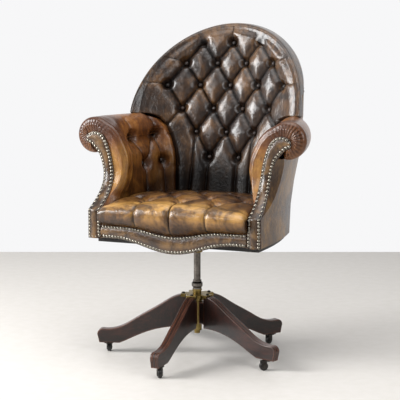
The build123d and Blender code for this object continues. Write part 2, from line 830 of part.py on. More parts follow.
def make_tub():
    outer = tub_space(0, 0)
    under_skin = tub_space(skin_thickness, cutter_step)
    under_frame = tub_space(skin_thickness + frame_thickness, 2 * cutter_step)
    inside = tub_solid(pad_plan, 0, 4 * cutter_step)
    whole_arch = arch_prism(arch_radius)
    arch = arch_prism(arch_radius - band_thickness)
    behind_front = side_prism(0, tub_bottom - overrun)
    roll = roll_solid(0, 0, 0)
    rolls = [roll, mirrored(roll)]
    zone = back_zone()
    wide = roll_front_x + overrun
    high = chair_height + overrun
    deep = tub_rear_at_top + overrun
    side_top = tub_bottom + side_top_share * (roll_front_z - tub_bottom)
    above_frame = block((-wide, -deep, seat_frame_top), (wide, deep, high))
    behind_seam = block((-wide, side_seam_y, tub_bottom), (wide, deep, high))
    right_side = block((0, -deep, tub_bottom), (wide, side_seam_y, side_top))

    skin = outer - under_skin - inside
    outside_back = (skin & behind_seam & arch) - rolls[0] - rolls[1]
    save("outside_back", outside_back)
    outside_arm = (skin & right_side & behind_front) - roll
    save("outside_arm_right", outside_arm)
    save("outside_arm_left", mirrored(outside_arm))

    frame = under_skin - under_frame - inside
    opening = arch_prism(arch_radius - band_thickness - seat_frame_width)
    opening &= block((-wide, -deep, seat_frame_top + seat_frame_width), (wide, deep, high))
    back_frame = (frame & behind_seam & arch & above_frame) - opening - rolls[0] - rolls[1]
    save("back_frame", back_frame)
    webbing_depth = skin_thickness + frame_thickness - webbing_thickness
    webbing = frame & tub_solid(outer_plan, webbing_depth, 3 * cutter_step)
    webbing = (webbing & behind_seam & opening & above_frame) - rolls[0] - rolls[1]
    save("back_webbing", webbing)
    front_strip = behind_front - side_prism(post_depth, tub_bottom - overrun)
    post = (frame & right_side & front_strip) - roll
    save("arm_post_right", post)
    save("arm_post_left", mirrored(post))

    band = (outer - inside) & (whole_arch - arch) & behind_seam
    band = (band & block((-wide, -deep, arch_centre), (wide, deep, high))) - rolls[0] - rolls[1]
    save("rim_band", band)

    padding = (under_frame - inside) & above_frame
    back_pad = (padding & zone & arch) - rolls[0] - rolls[1]
    rows = back_tufts()
    for row in rows:
        for point in row:
            back_pad -= dimple(point, pad_normal(point.X, point.Z), tuft_depth, tuft_radius)
    for a, b in neighbours(rows, back_tuft_pitch):
        back_pad -= crease(a, b, Vector(0, -crease_lift, 0))
    save("back_pad", back_pad)
    buttons = []
    for row in rows:
        for point in row:
            buttons.append(button(point, pad_normal(point.X, point.Z), tuft_depth))
    save("back_buttons", group(buttons))

    arm_side = (padding & right_side_of(side_top, wide, deep) & behind_front) - zone
    rail_back = tub_front + rail_thickness + rest_gap
    rail_end = block((0, -deep, tub_bottom), (rail_half_width + rest_gap, rail_back, rail_high_end + rest_gap))
    rail = roll_solid(roll_front_radius - arm_rail_radius, arm_rail_front_gap, overrun / 2)
    swell = pad_swell() & under_frame & above_frame & behind_front
    arm_pad = (arm_side + swell - rail_end + roll) - rail
    points = [(Vector(outline_x(pad_plan(z, 0), y), y, z), Vector(-1, 0, 0)) for y, z in arm_tufts]
    for point, normal in points:
        arm_pad -= dimple(point, normal, tuft_depth, tuft_radius)
    save("arm_pad_right", arm_pad)
    save("arm_pad_left", mirrored(arm_pad))
    save("arm_rail_right", rail)
    save("arm_rail_left", mirrored(rail))
    buttons = [button(point, normal, tuft_depth) for point, normal in points]
    save("arm_buttons_right", group(buttons))
    save("arm_buttons_left", group([mirrored(one) for one in buttons]))


def pad_swell():
    """The fullest part of the right arm pad, beside its facing, thinning out along the side."""
    front_y = arm_front - arm_sweep - overrun
    places = [front_y, swell_full_y, (swell_full_y + swell_end_y) / 2, swell_end_y]
    faces = []
    for y, keep in zip(places, swell_keep_shares):
        inner = [(swell_root_share + keep * (x - swell_root_share), z) for x, z in swell_inner_shares]
        points = [roll_share_point(x, z, y) for x, z in inner + swell_outer_shares]
        faces.append(make_face(Polyline(*points, close=True)))
    return loft(faces, ruled=True)


def right_side_of(top, wide, deep):
    """The space of the right arm's side pad."""
    return block((0, -deep, seat_frame_top), (wide, deep, top + roll_front_radius))


# Seat


def seat_nose():
    """The arc over the front of the cushion, seen from the side."""
    front = tub_front - rail_proud
    nose = (0, seat_nose_y, seat_nose_height)
    return ThreePointArc((0, front, pleat_low), nose, (0, seat_nose_back, seat_nose_top))


def seat_crest():
    """The shallow arc over the top of the cushion, seen from the side."""
    rear = pad_plan(seat_rear_height, 0)["rear"]
    crest = (0, seat_crest_y, seat_height)
    return ThreePointArc((0, seat_nose_back, seat_nose_top), crest, (0, rear, seat_rear_height))


def seat_crown():
    """The shallow arc over the top of the cushion, seen from the front."""
    half = pad_half_widths[0]
    return ThreePointArc((-half, 0, seat_edge_height), (0, 0, seat_height), (half, 0, seat_edge_height))


def arc_height(arc, offset):
    """Height of a shallow arc at a level distance from its centre."""
    return arc.arc_center.Z + sqrt(arc.radius ** 2 - offset ** 2)


def seat_top(x, y):
    crest = seat_crest()
    crown = seat_crown()
    return min(arc_height(crest, y - crest.arc_center.Y), arc_height(crown, x - crown.arc_center.X))


def seat_blank(rail):
    """The cushion before it is tufted: rounded over the front and crowned both ways."""
    low = seat_frame_top + rest_gap
    front = tub_front - rail_proud
    rear = tub_rear_at_top
    half = pad_half_widths[0]
    nose = seat_nose()
    crest = seat_crest()
    side_face = make_face([
        Line((0, front, low), nose @ 0),
        nose,
        crest,
        Line(crest @ 1, (0, rear, seat_rear_height)),
        Line((0, rear, seat_rear_height), (0, rear, low)),
        Line((0, rear, low), (0, front, low)),
    ])
    crown = seat_crown()
    front_face = make_face([
        crown,
        Line(crown @ 1, (half, 0, low)),
        Line((half, 0, low), (-half, 0, low)),
        Line((-half, 0, low), crown @ 0),
    ])
    blank = extrude(side_face, half, both=True) & extrude(front_face, 2 * rear, both=True)
    return (blank & tub_solid(pad_plan, seat_clearance, cutter_step)) - Pos(0, 0, rest_gap) * rail


def seat_tufts():
    rows = []
    for number, y in enumerate(seat_row_starts):
        xs = [-1, 0, 1] if number % 2 == 0 else [-1.5, -0.5, 0.5, 1.5]
        rows.append([Vector(x * seat_tuft_pitch, y, seat_top(x * seat_tuft_pitch, y)) for x in xs])
    return rows


def seat_neighbours(rows):
    pairs = []
    for front, back in zip(rows, rows[1:]):
        for a in front:
            for b in back:
                if abs(a.X - b.X) < 0.75 * seat_tuft_pitch:
                    pairs.append((a, b))
    return pairs


def make_seat():
    rail = front_rail()
    save("front_rail", rail)
    wide = roll_front_x + overrun
    deep = tub_rear_at_top + overrun
    behind_rail = tub_front + rail_thickness
    skin_and_frame = skin_thickness + frame_thickness
    frame_space = block((-wide, behind_rail, tub_bottom), (wide, deep, seat_frame_top))
    frame_blank = tub_solid(outer_plan, skin_and_frame, cutter_step) & frame_space
    opening = tub_solid(outer_plan, skin_and_frame + seat_frame_width, 2 * cutter_step)
    opening &= block((-wide, behind_rail + seat_frame_width, tub_bottom), (wide, deep, seat_frame_top))
    save("seat_frame", frame_blank - opening)
    web_space = block((-wide, -deep, seat_frame_top - webbing_thickness), (wide, deep, seat_frame_top))
    save("seat_webbing", opening & web_space)
    board = tub_solid(outer_plan, board_inset, 4 * cutter_step)
    board &= block((-wide, board_front, plate_top), (wide, deep, tub_bottom))
    screw_x = plate_width / 2 - plate_screw_inset
    screw_y = plate_depth / 2 - plate_screw_inset
    places = [Pos(sx * screw_x, sy * screw_y, 0) for sx in (-1, 1) for sy in (-1, 1)]
    low = plate_top - plate_thickness
    plate = block((-plate_width / 2, -plate_depth / 2, low), (plate_width / 2, plate_depth / 2, plate_top))
    plate += drum(boss_radius, plate_top - boss_length, plate_top)
    plate -= drum(column_radius + running_clearance, 0, plate_top)
    for place in places:
        hole = place * drum(plate_screw_radius, low, low + plate_screw_length)
        board -= hole
        plate -= hole
    save("bottom_board", board)
    save("seat_plate", plate)
    screw = drum(plate_screw_radius, low, low + plate_screw_length)
    screw += drum(plate_screw_head_radius, low - plate_screw_head_height, low)
    save("plate_screws", group([place * screw for place in places]))

    cushion = seat_blank(rail)
    rows = seat_tufts()
    up = Vector(0, 0, 1)
    for row in rows:
        for point in row:
            cushion -= dimple(point, up, seat_tuft_depth, tuft_radius)
    for a, b in seat_neighbours(rows):
        cushion -= crease(a, b, up * crease_lift)
    nose = seat_nose()
    pleat = Rot(0, 90, 0) * Torus(nose.radius, pleat_radius)
    for point in rows[0]:
        cushion -= Pos(point.X, nose.arc_center.Y, nose.arc_center.Z) * pleat
        cushion -= crease(point, Vector(point.X, seat_nose_back, seat_nose_top), up * crease_lift)
    save("seat_cushion", cushion)
    save("seat_buttons", group([button(point, up, seat_tuft_depth) for row in rows for point in row]))


# Nails and facings


def rim_nails():
    """Nails on the outside back, just inside the arch's edge."""
    radius = arch_radius - band_nail_inset
    count = round(radians(2 * band_nail_turn) * radius / nail_pitch)
    heads = []
    for n in range(count + 1):
        turn = radians(band_nail_turn * (2 * n / count - 1))
        x = radius * sin(turn)
        z = arch_centre + radius * cos(turn)
        y = outline_y(outer_plan(z, 0), x)
        across = outline_y(outer_plan(z, 0), x + slope_step) - outline_y(outer_plan(z, 0), x - slope_step)
        up = outline_y(outer_plan(z + slope_step, 0), x) - outline_y(outer_plan(z - slope_step, 0), x)
        outwards = Vector(-across, 2 * slope_step, -up).normalized()
        heads.append(nail(Vector(x, y, z) + outwards * (nail_height / 10), outwards))
    return heads


def make_trim():
    facing = arm_facing()
    save("arm_facing_right", facing)
    save("arm_facing_left", mirrored(facing))
    heads = facing_nails()
    save("facing_nails_right", group(heads))
    save("facing_nails_left", group([mirrored(head) for head in heads]))
    forwards = Vector(0, -1, 0)
    proud = Vector(0, -nail_height / 10, 0)
    half = rail_half_width - nail_inset
    places = nail_row(rail_low, nail_inset, half) + nail_row(rail_high, -nail_inset, half)
    save("rail_nails", group([nail(Vector(*place) + proud, forwards) for place in places]))
    save("rim_nails", group(rim_nails()))


os.makedirs("parts", exist_ok=True)
make_base()
make_column()
make_seat()
make_trim()
make_tub()
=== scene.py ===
# %% [markdown]
# An office chair: a buttoned leather tub on a swivel column, five mahogany legs and castors. The packed
# CAD model is loaded as a fixed frame. Its hard parts stay and get materials. Its soft parts could be
# subdivided and sculpted, but a CAD object is never changed, so finer leather takes their place.

# %% Load the CAD model
import bpy
import math
import numpy as np
from mathutils import Matrix, Vector


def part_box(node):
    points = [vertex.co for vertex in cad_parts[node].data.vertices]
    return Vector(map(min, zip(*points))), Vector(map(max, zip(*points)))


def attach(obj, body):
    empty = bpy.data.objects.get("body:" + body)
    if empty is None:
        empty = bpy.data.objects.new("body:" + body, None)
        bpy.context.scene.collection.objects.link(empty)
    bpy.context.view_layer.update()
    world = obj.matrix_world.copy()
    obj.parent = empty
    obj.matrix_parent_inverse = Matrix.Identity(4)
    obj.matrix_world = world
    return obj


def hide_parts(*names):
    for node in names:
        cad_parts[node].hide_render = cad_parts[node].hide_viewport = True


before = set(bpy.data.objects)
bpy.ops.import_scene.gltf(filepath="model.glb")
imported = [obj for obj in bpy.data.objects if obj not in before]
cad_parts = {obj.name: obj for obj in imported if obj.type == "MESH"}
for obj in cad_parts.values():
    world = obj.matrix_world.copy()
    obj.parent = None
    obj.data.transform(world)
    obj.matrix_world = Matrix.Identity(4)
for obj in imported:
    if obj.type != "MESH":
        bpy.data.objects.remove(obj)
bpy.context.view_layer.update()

# %% [markdown]
# The origin is on the floor under the column, and the front of the chair faces -Y. Lengths below are in
# millimetres and named as in the part's source, and mesh_piece turns them into metres. The leather could
# be fitted to the CAD meshes, but the same numbers give the same surfaces, at any spacing of points.

# %% Sizes shared with the CAD
tub_levels = [364, 450, 521, 597, 715, 850, 1010]
tub_half_widths = [265, 267, 276, 291, 301, 301, 301]
pad_half_widths = [222, 222, 222, 223, 300, 312, 330]
tub_floor = tub_levels[0]
side_start = -100
back_lean = 0.224
arch_radius, arch_centre = 276, 715
arm_front, arm_sweep, sweep_low, sweep_high = -86, 91, 447, 562
swell_levels = [480, 493, 527, 570, 597, 627, 658, 684, 699, 715]
swell_depths = [0, 11, 25, 32, 30, 39, 44, 40, 12, 0]
roll_front, roll_front_radius, roll_bow = np.array([306, -86, 655]), 55, 17
roll_rear, roll_rear_radius = np.array([232, 172, 668]), 46
step = 2.8
print("points", step, "mm apart")

# %% [markdown]
# From above, the tub is a bowed side, a corner arc and a bowed back, and the outline changes with the
# height. It could be drawn as curves and lofted, as in the CAD. Here it is a function of the height
# instead, so that rows of points can run wherever the hide does. It works on whole arrays, because
# numpy is far quicker than a loop over points.


# %% Outlines
def outer_plan(z):
    """Outside of the tub's frame at a height."""
    return {"side": np.interp(z, tub_levels, tub_half_widths), "side_radius": 1170.0,
            "rear": 341 - 0.137 * (991 - z), "back_radius": 440.0, "corner_radius": 118.0}


def pad_plan(z):
    """Inside face of the padding at a height, before it is tufted."""
    return {"side": np.interp(z, tub_levels, pad_half_widths), "side_radius": 1170.0,
            "rear": 217 + back_lean * (z - 656), "back_radius": 400.0, "corner_radius": 110.0}


# %% [markdown]
# The three arcs meet where their directions agree. Those places could be found by trial, but two
# circles and a third that touches both have an exact answer. With it, a distance along the outline
# gives a place and an outward direction, and back again, which is how a hide is laid round the tub.


# %% Reading the outlines
def with_corner(plan):
    """Adds the corner's centre and the turns at which the three arcs join."""
    side_x = plan["side"] - plan["side_radius"]
    back_y = plan["rear"] - plan["back_radius"]
    side_reach = plan["side_radius"] - plan["corner_radius"]
    back_reach = plan["back_radius"] - plan["corner_radius"]
    apart = np.hypot(side_x, back_y - side_start)
    along = (apart ** 2 + side_reach ** 2 - back_reach ** 2) / (2 * apart)
    across = np.sqrt(side_reach ** 2 - along ** 2)
    step_x = -side_x / apart
    step_y = (back_y - side_start) / apart
    cx = side_x + along * step_x - across * step_y
    cy = side_start + along * step_y + across * step_x
    side_turn = np.arctan2(cy - side_start, cx - side_x)
    back_turn = np.arctan2(cy - back_y, cx)
    return {**plan, "side_x": side_x, "back_y": back_y, "cx": cx, "cy": cy,
            "side_turn": side_turn, "back_turn": back_turn}


def path_point(plan, s):
    """Place and outward direction at a distance s along the outline from the middle of the back."""
    plan = with_corner(plan)
    lean_back = math.pi / 2 - plan["back_turn"]
    lean_side = math.pi / 2 - plan["side_turn"]
    s_back = plan["back_radius"] * lean_back
    s_corner = s_back + plan["corner_radius"] * (lean_side - lean_back)
    s_side = s_corner + plan["side_radius"] * plan["side_turn"]
    size = abs(s)
    back = size / plan["back_radius"]
    corner = lean_back + (size - s_back) / plan["corner_radius"]
    side = lean_side + (size - s_corner) / plan["side_radius"]
    lean = np.where(size < s_back, back, np.where(size < s_corner, corner, np.minimum(side, math.pi / 2)))
    radius = np.where(size < s_back, plan["back_radius"],
                      np.where(size < s_corner, plan["corner_radius"], plan["side_radius"]))
    ox = np.where(size < s_back, 0, np.where(size < s_corner, plan["cx"], plan["side_x"]))
    oy = np.where(size < s_back, plan["back_y"], np.where(size < s_corner, plan["cy"], side_start))
    x = ox + radius * np.sin(lean)
    y = oy + radius * np.cos(lean) - np.maximum(size - s_side, 0)
    sign = np.where(s < 0, -1, 1)
    return x * sign, y, np.sin(lean) * sign, np.cos(lean)


def path_length(plan, x):
    """Distance along the outline from the middle of the back to a place on the back or corner."""
    plan = with_corner(plan)
    lean_back = math.pi / 2 - plan["back_turn"]
    s_back = plan["back_radius"] * lean_back
    size = abs(x)
    on_back = plan["back_radius"] * np.arcsin(np.clip(size / plan["back_radius"], 0, 1))
    lean = np.arcsin(np.clip((size - plan["cx"]) / plan["corner_radius"], -1, 1))
    on_corner = s_back + plan["corner_radius"] * (lean - lean_back)
    return np.where(on_back < s_back, on_back, on_corner) * np.sign(x)


def outside_by(plan, x, y):
    """How far a point lies outside an outline; less than 0 inside."""
    plan = with_corner(plan)
    x = abs(x)
    side = np.where(y > side_start, np.hypot(x - plan["side_x"], y - side_start) - plan["side_radius"],
                    x - plan["side"])
    back = np.hypot(x, y - plan["back_y"]) - plan["back_radius"]
    corner = np.hypot(x - plan["cx"], y - plan["cy"]) - plan["corner_radius"]
    turn = np.arctan2(y - plan["cy"], x - plan["cx"])
    in_corner = (turn > plan["side_turn"]) & (turn < plan["back_turn"])
    return np.where(in_corner, corner, np.maximum(side, back))


def front_y(z):
    """Front edge of the tub's side at a height: upright above, swept forward below."""
    share = np.clip((z - sweep_low) / (sweep_high - sweep_low), 0, 1)
    return arm_front - arm_sweep * (1 - share) ** 2.2


# %% [markdown]
# Tufted leather is a pillow between creases, with a pit at each button. It could be a cloth that is
# blown up and pinned, but then the diamonds move. A height worked out from the distance to each crease
# and button keeps them where the photograph has them. These helpers measure such distances.


# %% Helpers
def smooth(low, high, value):
    """Smooth step from 0 at low to 1 at high; low may be the larger."""
    share = np.clip((value - low) / (high - low), 0, 1)
    return share * share * (3 - 2 * share)


def resample(points, spacing):
    """Even points along a polyline."""
    points = np.array(points, float)
    lengths = np.concatenate([[0], np.cumsum(np.linalg.norm(np.diff(points, axis=0), axis=1))])
    count = max(2, round(lengths[-1] / spacing) + 1)
    at = np.linspace(0, lengths[-1], count)
    return np.stack([np.interp(at, lengths, points[:, k]) for k in range(points.shape[1])], axis=1)


def segment_distance(px, pz, a, b):
    """Distance from each place to the straight line from a to b."""
    ax, az = a
    dx, dz = b[0] - ax, b[1] - az
    share = np.clip(((px - ax) * dx + (pz - az) * dz) / (dx * dx + dz * dz), 0, 1)
    return np.hypot(px - ax - share * dx, pz - az - share * dz)


def soft_distance(px, pz, segments, blend=2.5):
    """Distance to the nearest segment, with the ridges between them rounded."""
    total = np.zeros_like(px)
    for a, b in segments:
        total += np.exp(-segment_distance(px, pz, a, b) / blend)
    return -blend * np.log(np.maximum(total, 1e-30))


def point_distance(px, pz, points):
    """Distance from each place to the nearest of some points."""
    best = np.full_like(px, 1e6)
    for x, z in points:
        best = np.minimum(best, np.hypot(px - x, pz - z))
    return best


def pillow(distance, reach):
    """Height of stuffed leather between creases: steep beside the crease, flat on the crown."""
    share = np.clip(distance / reach, 0, 1)
    return (1 - (1 - share) ** 2) ** 0.75


# %% [markdown]
# A mesh could be grown with bmesh operations, but a grid of points that is already right only has to be
# joined into faces. mesh_piece does that for several grids at once and shades them smooth.


# %% Making a piece
def mesh_piece(name, grids, looks):
    """One smooth object from grids of points in millimetres.

    Each look, such as fold or worn, is a value at every point, for the materials to read.
    """
    verts, faces, start = [], [], 0
    for grid in grids:
        rows, cols = grid.shape[:2]
        index = np.arange(rows * cols).reshape(rows, cols) + start
        quads = np.stack([index[:-1, :-1], index[:-1, 1:], index[1:, 1:], index[1:, :-1]], axis=-1)
        verts.append(grid.reshape(-1, 3) / 1000)
        faces.append(quads.reshape(-1, 4))
        start += rows * cols
    mesh = bpy.data.meshes.new(name)
    mesh.from_pydata(np.concatenate(verts).tolist(), [], np.concatenate(faces).tolist())
    for look, values in looks.items():
        layer = mesh.attributes.new(look, "FLOAT", "POINT")
        layer.data.foreach_set("value", np.concatenate([v.ravel() for v in values]).astype(np.float32))
    mesh.polygons.foreach_set("use_smooth", np.ones(len(mesh.polygons), bool))
    mesh.update()
    piece = bpy.data.objects.new(name, mesh)
    bpy.context.scene.collection.objects.link(piece)
    return piece


def mirrored(grid):
    """The grid on the chair's other side, its rows turned round so that faces still look outwards."""
    return (grid * np.array([-1, 1, 1]))[:, ::-1]


def both_sides(lines):
    """Lines and their mirror images."""
    return lines + [((-a[0], a[1]), (-b[0], b[1])) for a, b in lines]


# %% [markdown]
# Every material is procedural: nodes work out its colour and bump from the place on the object. An
# image could be wrapped round instead, but that needs UVs and has one fixed sharpness. add makes any
# node with its settings and links, and feed gives values or links to a node that is already there.


# %% Nodes and colours
def linear(code):
    """Hex sRGB colour as linear RGBA."""
    parts = [int(code[n:n + 2], 16) / 255 for n in (1, 3, 5)]
    return tuple(p / 12.92 if p <= 0.04045 else ((p + 0.055) / 1.055) ** 2.4 for p in parts) + (1.0,)


def feed(node, inputs):
    """Gives a node its inputs, each a value or another node's output."""
    for key, value in inputs.items():
        if isinstance(value, bpy.types.NodeSocket):
            node.id_data.links.new(value, node.inputs[key])
        else:
            node.inputs[key].default_value = value


def add(tree, kind, inputs=None, out=0, stops=(), **settings):
    """Adds one shader node with its settings and links, and returns one of its outputs.

    The stops are the places and colours along a colour ramp.
    """
    node = tree.nodes.new("ShaderNode" + kind)
    for key, value in settings.items():
        setattr(node, key, value)
    feed(node, inputs or {})
    while stops and len(node.color_ramp.elements) < len(stops):
        node.color_ramp.elements.new(0.5)
    for number, (place, colour) in enumerate(stops):
        node.color_ramp.elements[number].position = place
        node.color_ramp.elements[number].color = linear(colour)
    return node.outputs[out]


def scale_for(millimetres):
    """Scale, to one decimal, at which a texture's features are this many millimetres across."""
    return round(1000 / millimetres, 1)


def new_material(name):
    """A new material, its node tree and its shader."""
    material = bpy.data.materials.new(name)
    material.use_nodes = True
    return material, material.node_tree, material.node_tree.nodes["Principled BSDF"]


# %% [markdown]
# The hide is full-grain cowhide, aniline dyed, waxed and worn by hands and sleeves. That gives the eye
# cloudy patches and paler crowns where it is rubbed, and the crowns also carry a painted highlight. The
# folds and the places that lie in shadow get painted shade: a near-black colour, and less of the soft
# gloss of the clear coat. A photograph's texture would carry its own light, so the wear, painted
# highlight and painted shade are read from what mesh_piece stores at each point. The real pores are
# 0.3 mm, too fine to show here, so the grain is drawn 1.6 mm across.

# %% Leather
rgba = {"data_type": "RGBA"}


def leather(name, dark, middle, light, fold, worn, gloss, cloud, seed, coat=0.3, coat_rough=0.2, border=None):
    """Waxed hide; cloud is the size of its patches in mm, and seed takes them from another place."""
    material, tree, shader = new_material(name)
    place = add(tree, "TexCoord", out="Object")
    shifted = add(tree, "VectorMath", {0: place, 1: (seed, seed * 1.7, -seed)})
    clouds = add(tree, "TexNoise", {"Vector": shifted, "Scale": scale_for(cloud), "Detail": 5.0,
                                    "Roughness": 0.62, "Distortion": 0.6})
    drawn_out = add(tree, "Mapping", {"Vector": shifted, "Scale": (3.0, 3.0, 1.0)})
    streaks = add(tree, "TexNoise", {"Vector": drawn_out, "Scale": scale_for(33.3), "Detail": 4.0,
                                     "Roughness": 0.6})
    in_clouds = add(tree, "Math", {0: clouds, 1: 0.65}, operation="MULTIPLY")
    in_streaks = add(tree, "Math", {0: streaks, 1: 0.35}, operation="MULTIPLY")
    mottled = add(tree, "Math", {0: in_clouds, 1: in_streaks}, operation="ADD")
    base = add(tree, "ValToRGB", {"Fac": mottled}, stops=[(0.4, dark), (0.5, middle), (0.6, light)])
    looks = {look: add(tree, "Attribute", out="Fac", attribute_name=look)
             for look in ("worn", "fold", "shade")}

    # darker red-brown towards the edge of the hide, where the piece has one
    if border:
        edging = add(tree, "Attribute", out="Fac", attribute_name="border")
        darker_edge = add(tree, "Mix", {0: 1.0, 6: base, 7: linear(border)}, 2, blend_type="MULTIPLY", **rgba)
        darker_edge = add(tree, "Mix", {0: 0.7, 6: darker_edge, 7: linear(border)}, 2, **rgba)
        base = add(tree, "Mix", {0: edging, 6: base, 7: darker_edge}, 2, **rgba)

    # crowns rubbed paler and given a painted highlight, then painted shade in shadowed places and folds
    patchy = add(tree, "MapRange", {"Value": clouds, "From Min": 0.42, "From Max": 0.58,
                                    "To Min": 0.2, "To Max": 1.5})
    # paler crowns: partly wear and partly a painted highlight
    wear_and_highlight_share = add(tree, "Math", {0: looks["worn"], 1: patchy}, operation="MULTIPLY")
    rubbed_and_highlighted = add(tree, "Mix", {0: wear_and_highlight_share, 6: base, 7: linear(worn)}, 2, **rgba)
    deep = add(tree, "Mix", {0: 1.0, 6: rubbed_and_highlighted, 7: linear(dark)}, 2, blend_type="MULTIPLY", **rgba)
    deep = add(tree, "Mix", {0: 0.6, 6: deep, 7: linear(fold)}, 2, **rgba)
    shaded = add(tree, "Mix", {0: looks["shade"], 6: rubbed_and_highlighted, 7: deep}, 2, **rgba)
    colour = add(tree, "Mix", {0: looks["fold"], 6: shaded, 7: linear(fold)}, 2, **rgba)

    # wax: the gloss varies with the streaks; the coat and specular fade as painted shade in shadowed places
    # and folds
    rough = add(tree, "Math", {0: streaks, 1: 0.22, 2: gloss - 0.11}, operation="MULTIPLY_ADD")
    in_painted_shade = add(tree, "Math", {0: looks["shade"], 1: looks["fold"]}, operation="MAXIMUM")
    coating = add(tree, "Math", {0: in_painted_shade, 1: -0.85 * coat, 2: coat}, operation="MULTIPLY_ADD")
    specular = add(tree, "Math", {0: in_painted_shade, 1: -0.42, 2: 0.5}, operation="MULTIPLY_ADD")

    grain = add(tree, "TexVoronoi", {"Vector": shifted, "Scale": scale_for(1.613)}, "Distance",
                feature="DISTANCE_TO_EDGE")
    wrinkles = add(tree, "TexNoise", {"Vector": shifted, "Scale": scale_for(14.29), "Detail": 6.0,
                                      "Roughness": 0.55, "Distortion": 1.2})
    soft = add(tree, "Bump", {"Height": wrinkles, "Strength": 0.55, "Distance": 0.0022})
    fine = add(tree, "Bump", {"Height": grain, "Strength": 0.18, "Distance": 0.0004, "Normal": soft})
    feed(shader, {"Base Color": colour, "Roughness": rough, "Coat Weight": coating,
                  "Coat Roughness": coat_rough, "Specular IOR Level": specular,
                  "Normal": fine, "Coat Normal": fine})
    return material


# %% [markdown]
# Five hides dress the chair, and a sixth its buttons. One hide could do for all, but sun, sleeves and
# hands have worn each place in its own way, so each has its own dyes, gloss and size of cloud. The
# colours run from the hide's dark, middle and light tones to the painted shade of its folds and to its
# worn crowns, which also carry a painted highlight.

# %% The chair's hides
# inside back: the darkest hide, polished by shoulders, so its highlights are small and bright
back_leather = leather("back_leather", "#180e09", "#312116", "#5e4226", "#040202", "#6d4f33",
                       gloss=0.33, cloud=91, seed=0.0, coat=0.5, coat_rough=0.13)
# inside arms: red-brown, tan on the crowns, partly a painted highlight, and darker red-brown along the front
# edge
arm_leather = leather("arm_leather", "#4a2813", "#77471f", "#a26a32", "#100805", "#b5873d",
                      gloss=0.34, cloud=125, seed=3.1, coat=0.35, border="#522a0e")
# seat: worn to gold where it is sat on, partly a painted highlight, with painted shade in its creases
seat_leather = leather("seat_leather", "#2c190d", "#543419", "#82592c", "#150b06", "#c39550",
                       gloss=0.32, cloud=83, seed=5.3, coat=0.4, coat_rough=0.16)
# outside panels: plain olive brown, dry and duller, since nobody touches them
outside_leather = leather("outside_leather", "#372619", "#594025", "#826030", "#1a0f08", "#957445",
                          gloss=0.4, cloud=111, seed=7.9, coat=0.2)
# facings and rail: dark hide drawn tight between its nails, glossy on its crest, with painted shade in
# the trench by each row of nails and a crest paler from wear and a painted highlight
trim_leather = leather("trim_leather", "#22140b", "#3c2614", "#604423", "#060302", "#86673f",
                       gloss=0.3, cloud=55.5, seed=2.2, coat=0.45, coat_rough=0.15)
# buttons: scraps of the dark hide over tin shells, darker still as painted shade in their pits, and dull
button_leather = leather("button_leather", "#120a07", "#20130c", "#2e1c11", "#0d0705", "#3a2516",
                         gloss=0.45, cloud=50, seed=1.3)
print(len(bpy.data.materials), "materials so far")

# %% [markdown]
# The metals are turned, stamped or cast and have been handled for years. A metal takes its colour from
# what it reflects, so the nodes only add faint tarnish, and a rougher metal spreads its highlight.
# Tarnish could be painted by hand, but on parts this small a noise a few millimetres across does it.


# %% Metals
def metal(name, colour, shade, roughness, spot=16.67):
    """Solid metal with faint tarnish in spots of this many millimetres."""
    material, tree, shader = new_material(name)
    place = add(tree, "TexCoord", out="Object")
    spots = add(tree, "TexNoise", {"Vector": place, "Scale": scale_for(spot), "Detail": 4.0})
    tarnish = add(tree, "ValToRGB", {"Fac": spots}, stops=[(0.35, shade), (0.65, colour)])
    rough = add(tree, "Math", {0: spots, 1: 0.2, 2: roughness - 0.1}, operation="MULTIPLY_ADD")
    feed(shader, {"Base Color": tarnish, "Roughness": rough, "Metallic": 1.0})
    return material


# nickelled nail heads: small bright points over a grey rim
nail_metal = metal("nail_metal", "#9a958b", "#5f584d", 0.26, 3.333)
# turned brass, gone dull and brown
brass = metal("brass", "#a08c58", "#6c5b33", 0.4)
# ground steel of the column: a long clear highlight
column_steel = metal("column_steel", "#75706b", "#46423e", 0.24)
# cast iron forks, black with handling
castor_iron = metal("castor_iron", "#4a4744", "#2a2725", 0.38)
# rolled steel plate and screws under the seat
dark_steel = metal("dark_steel", "#5a5855", "#3c3a38", 0.4)
print(len(bpy.data.materials), "materials so far")
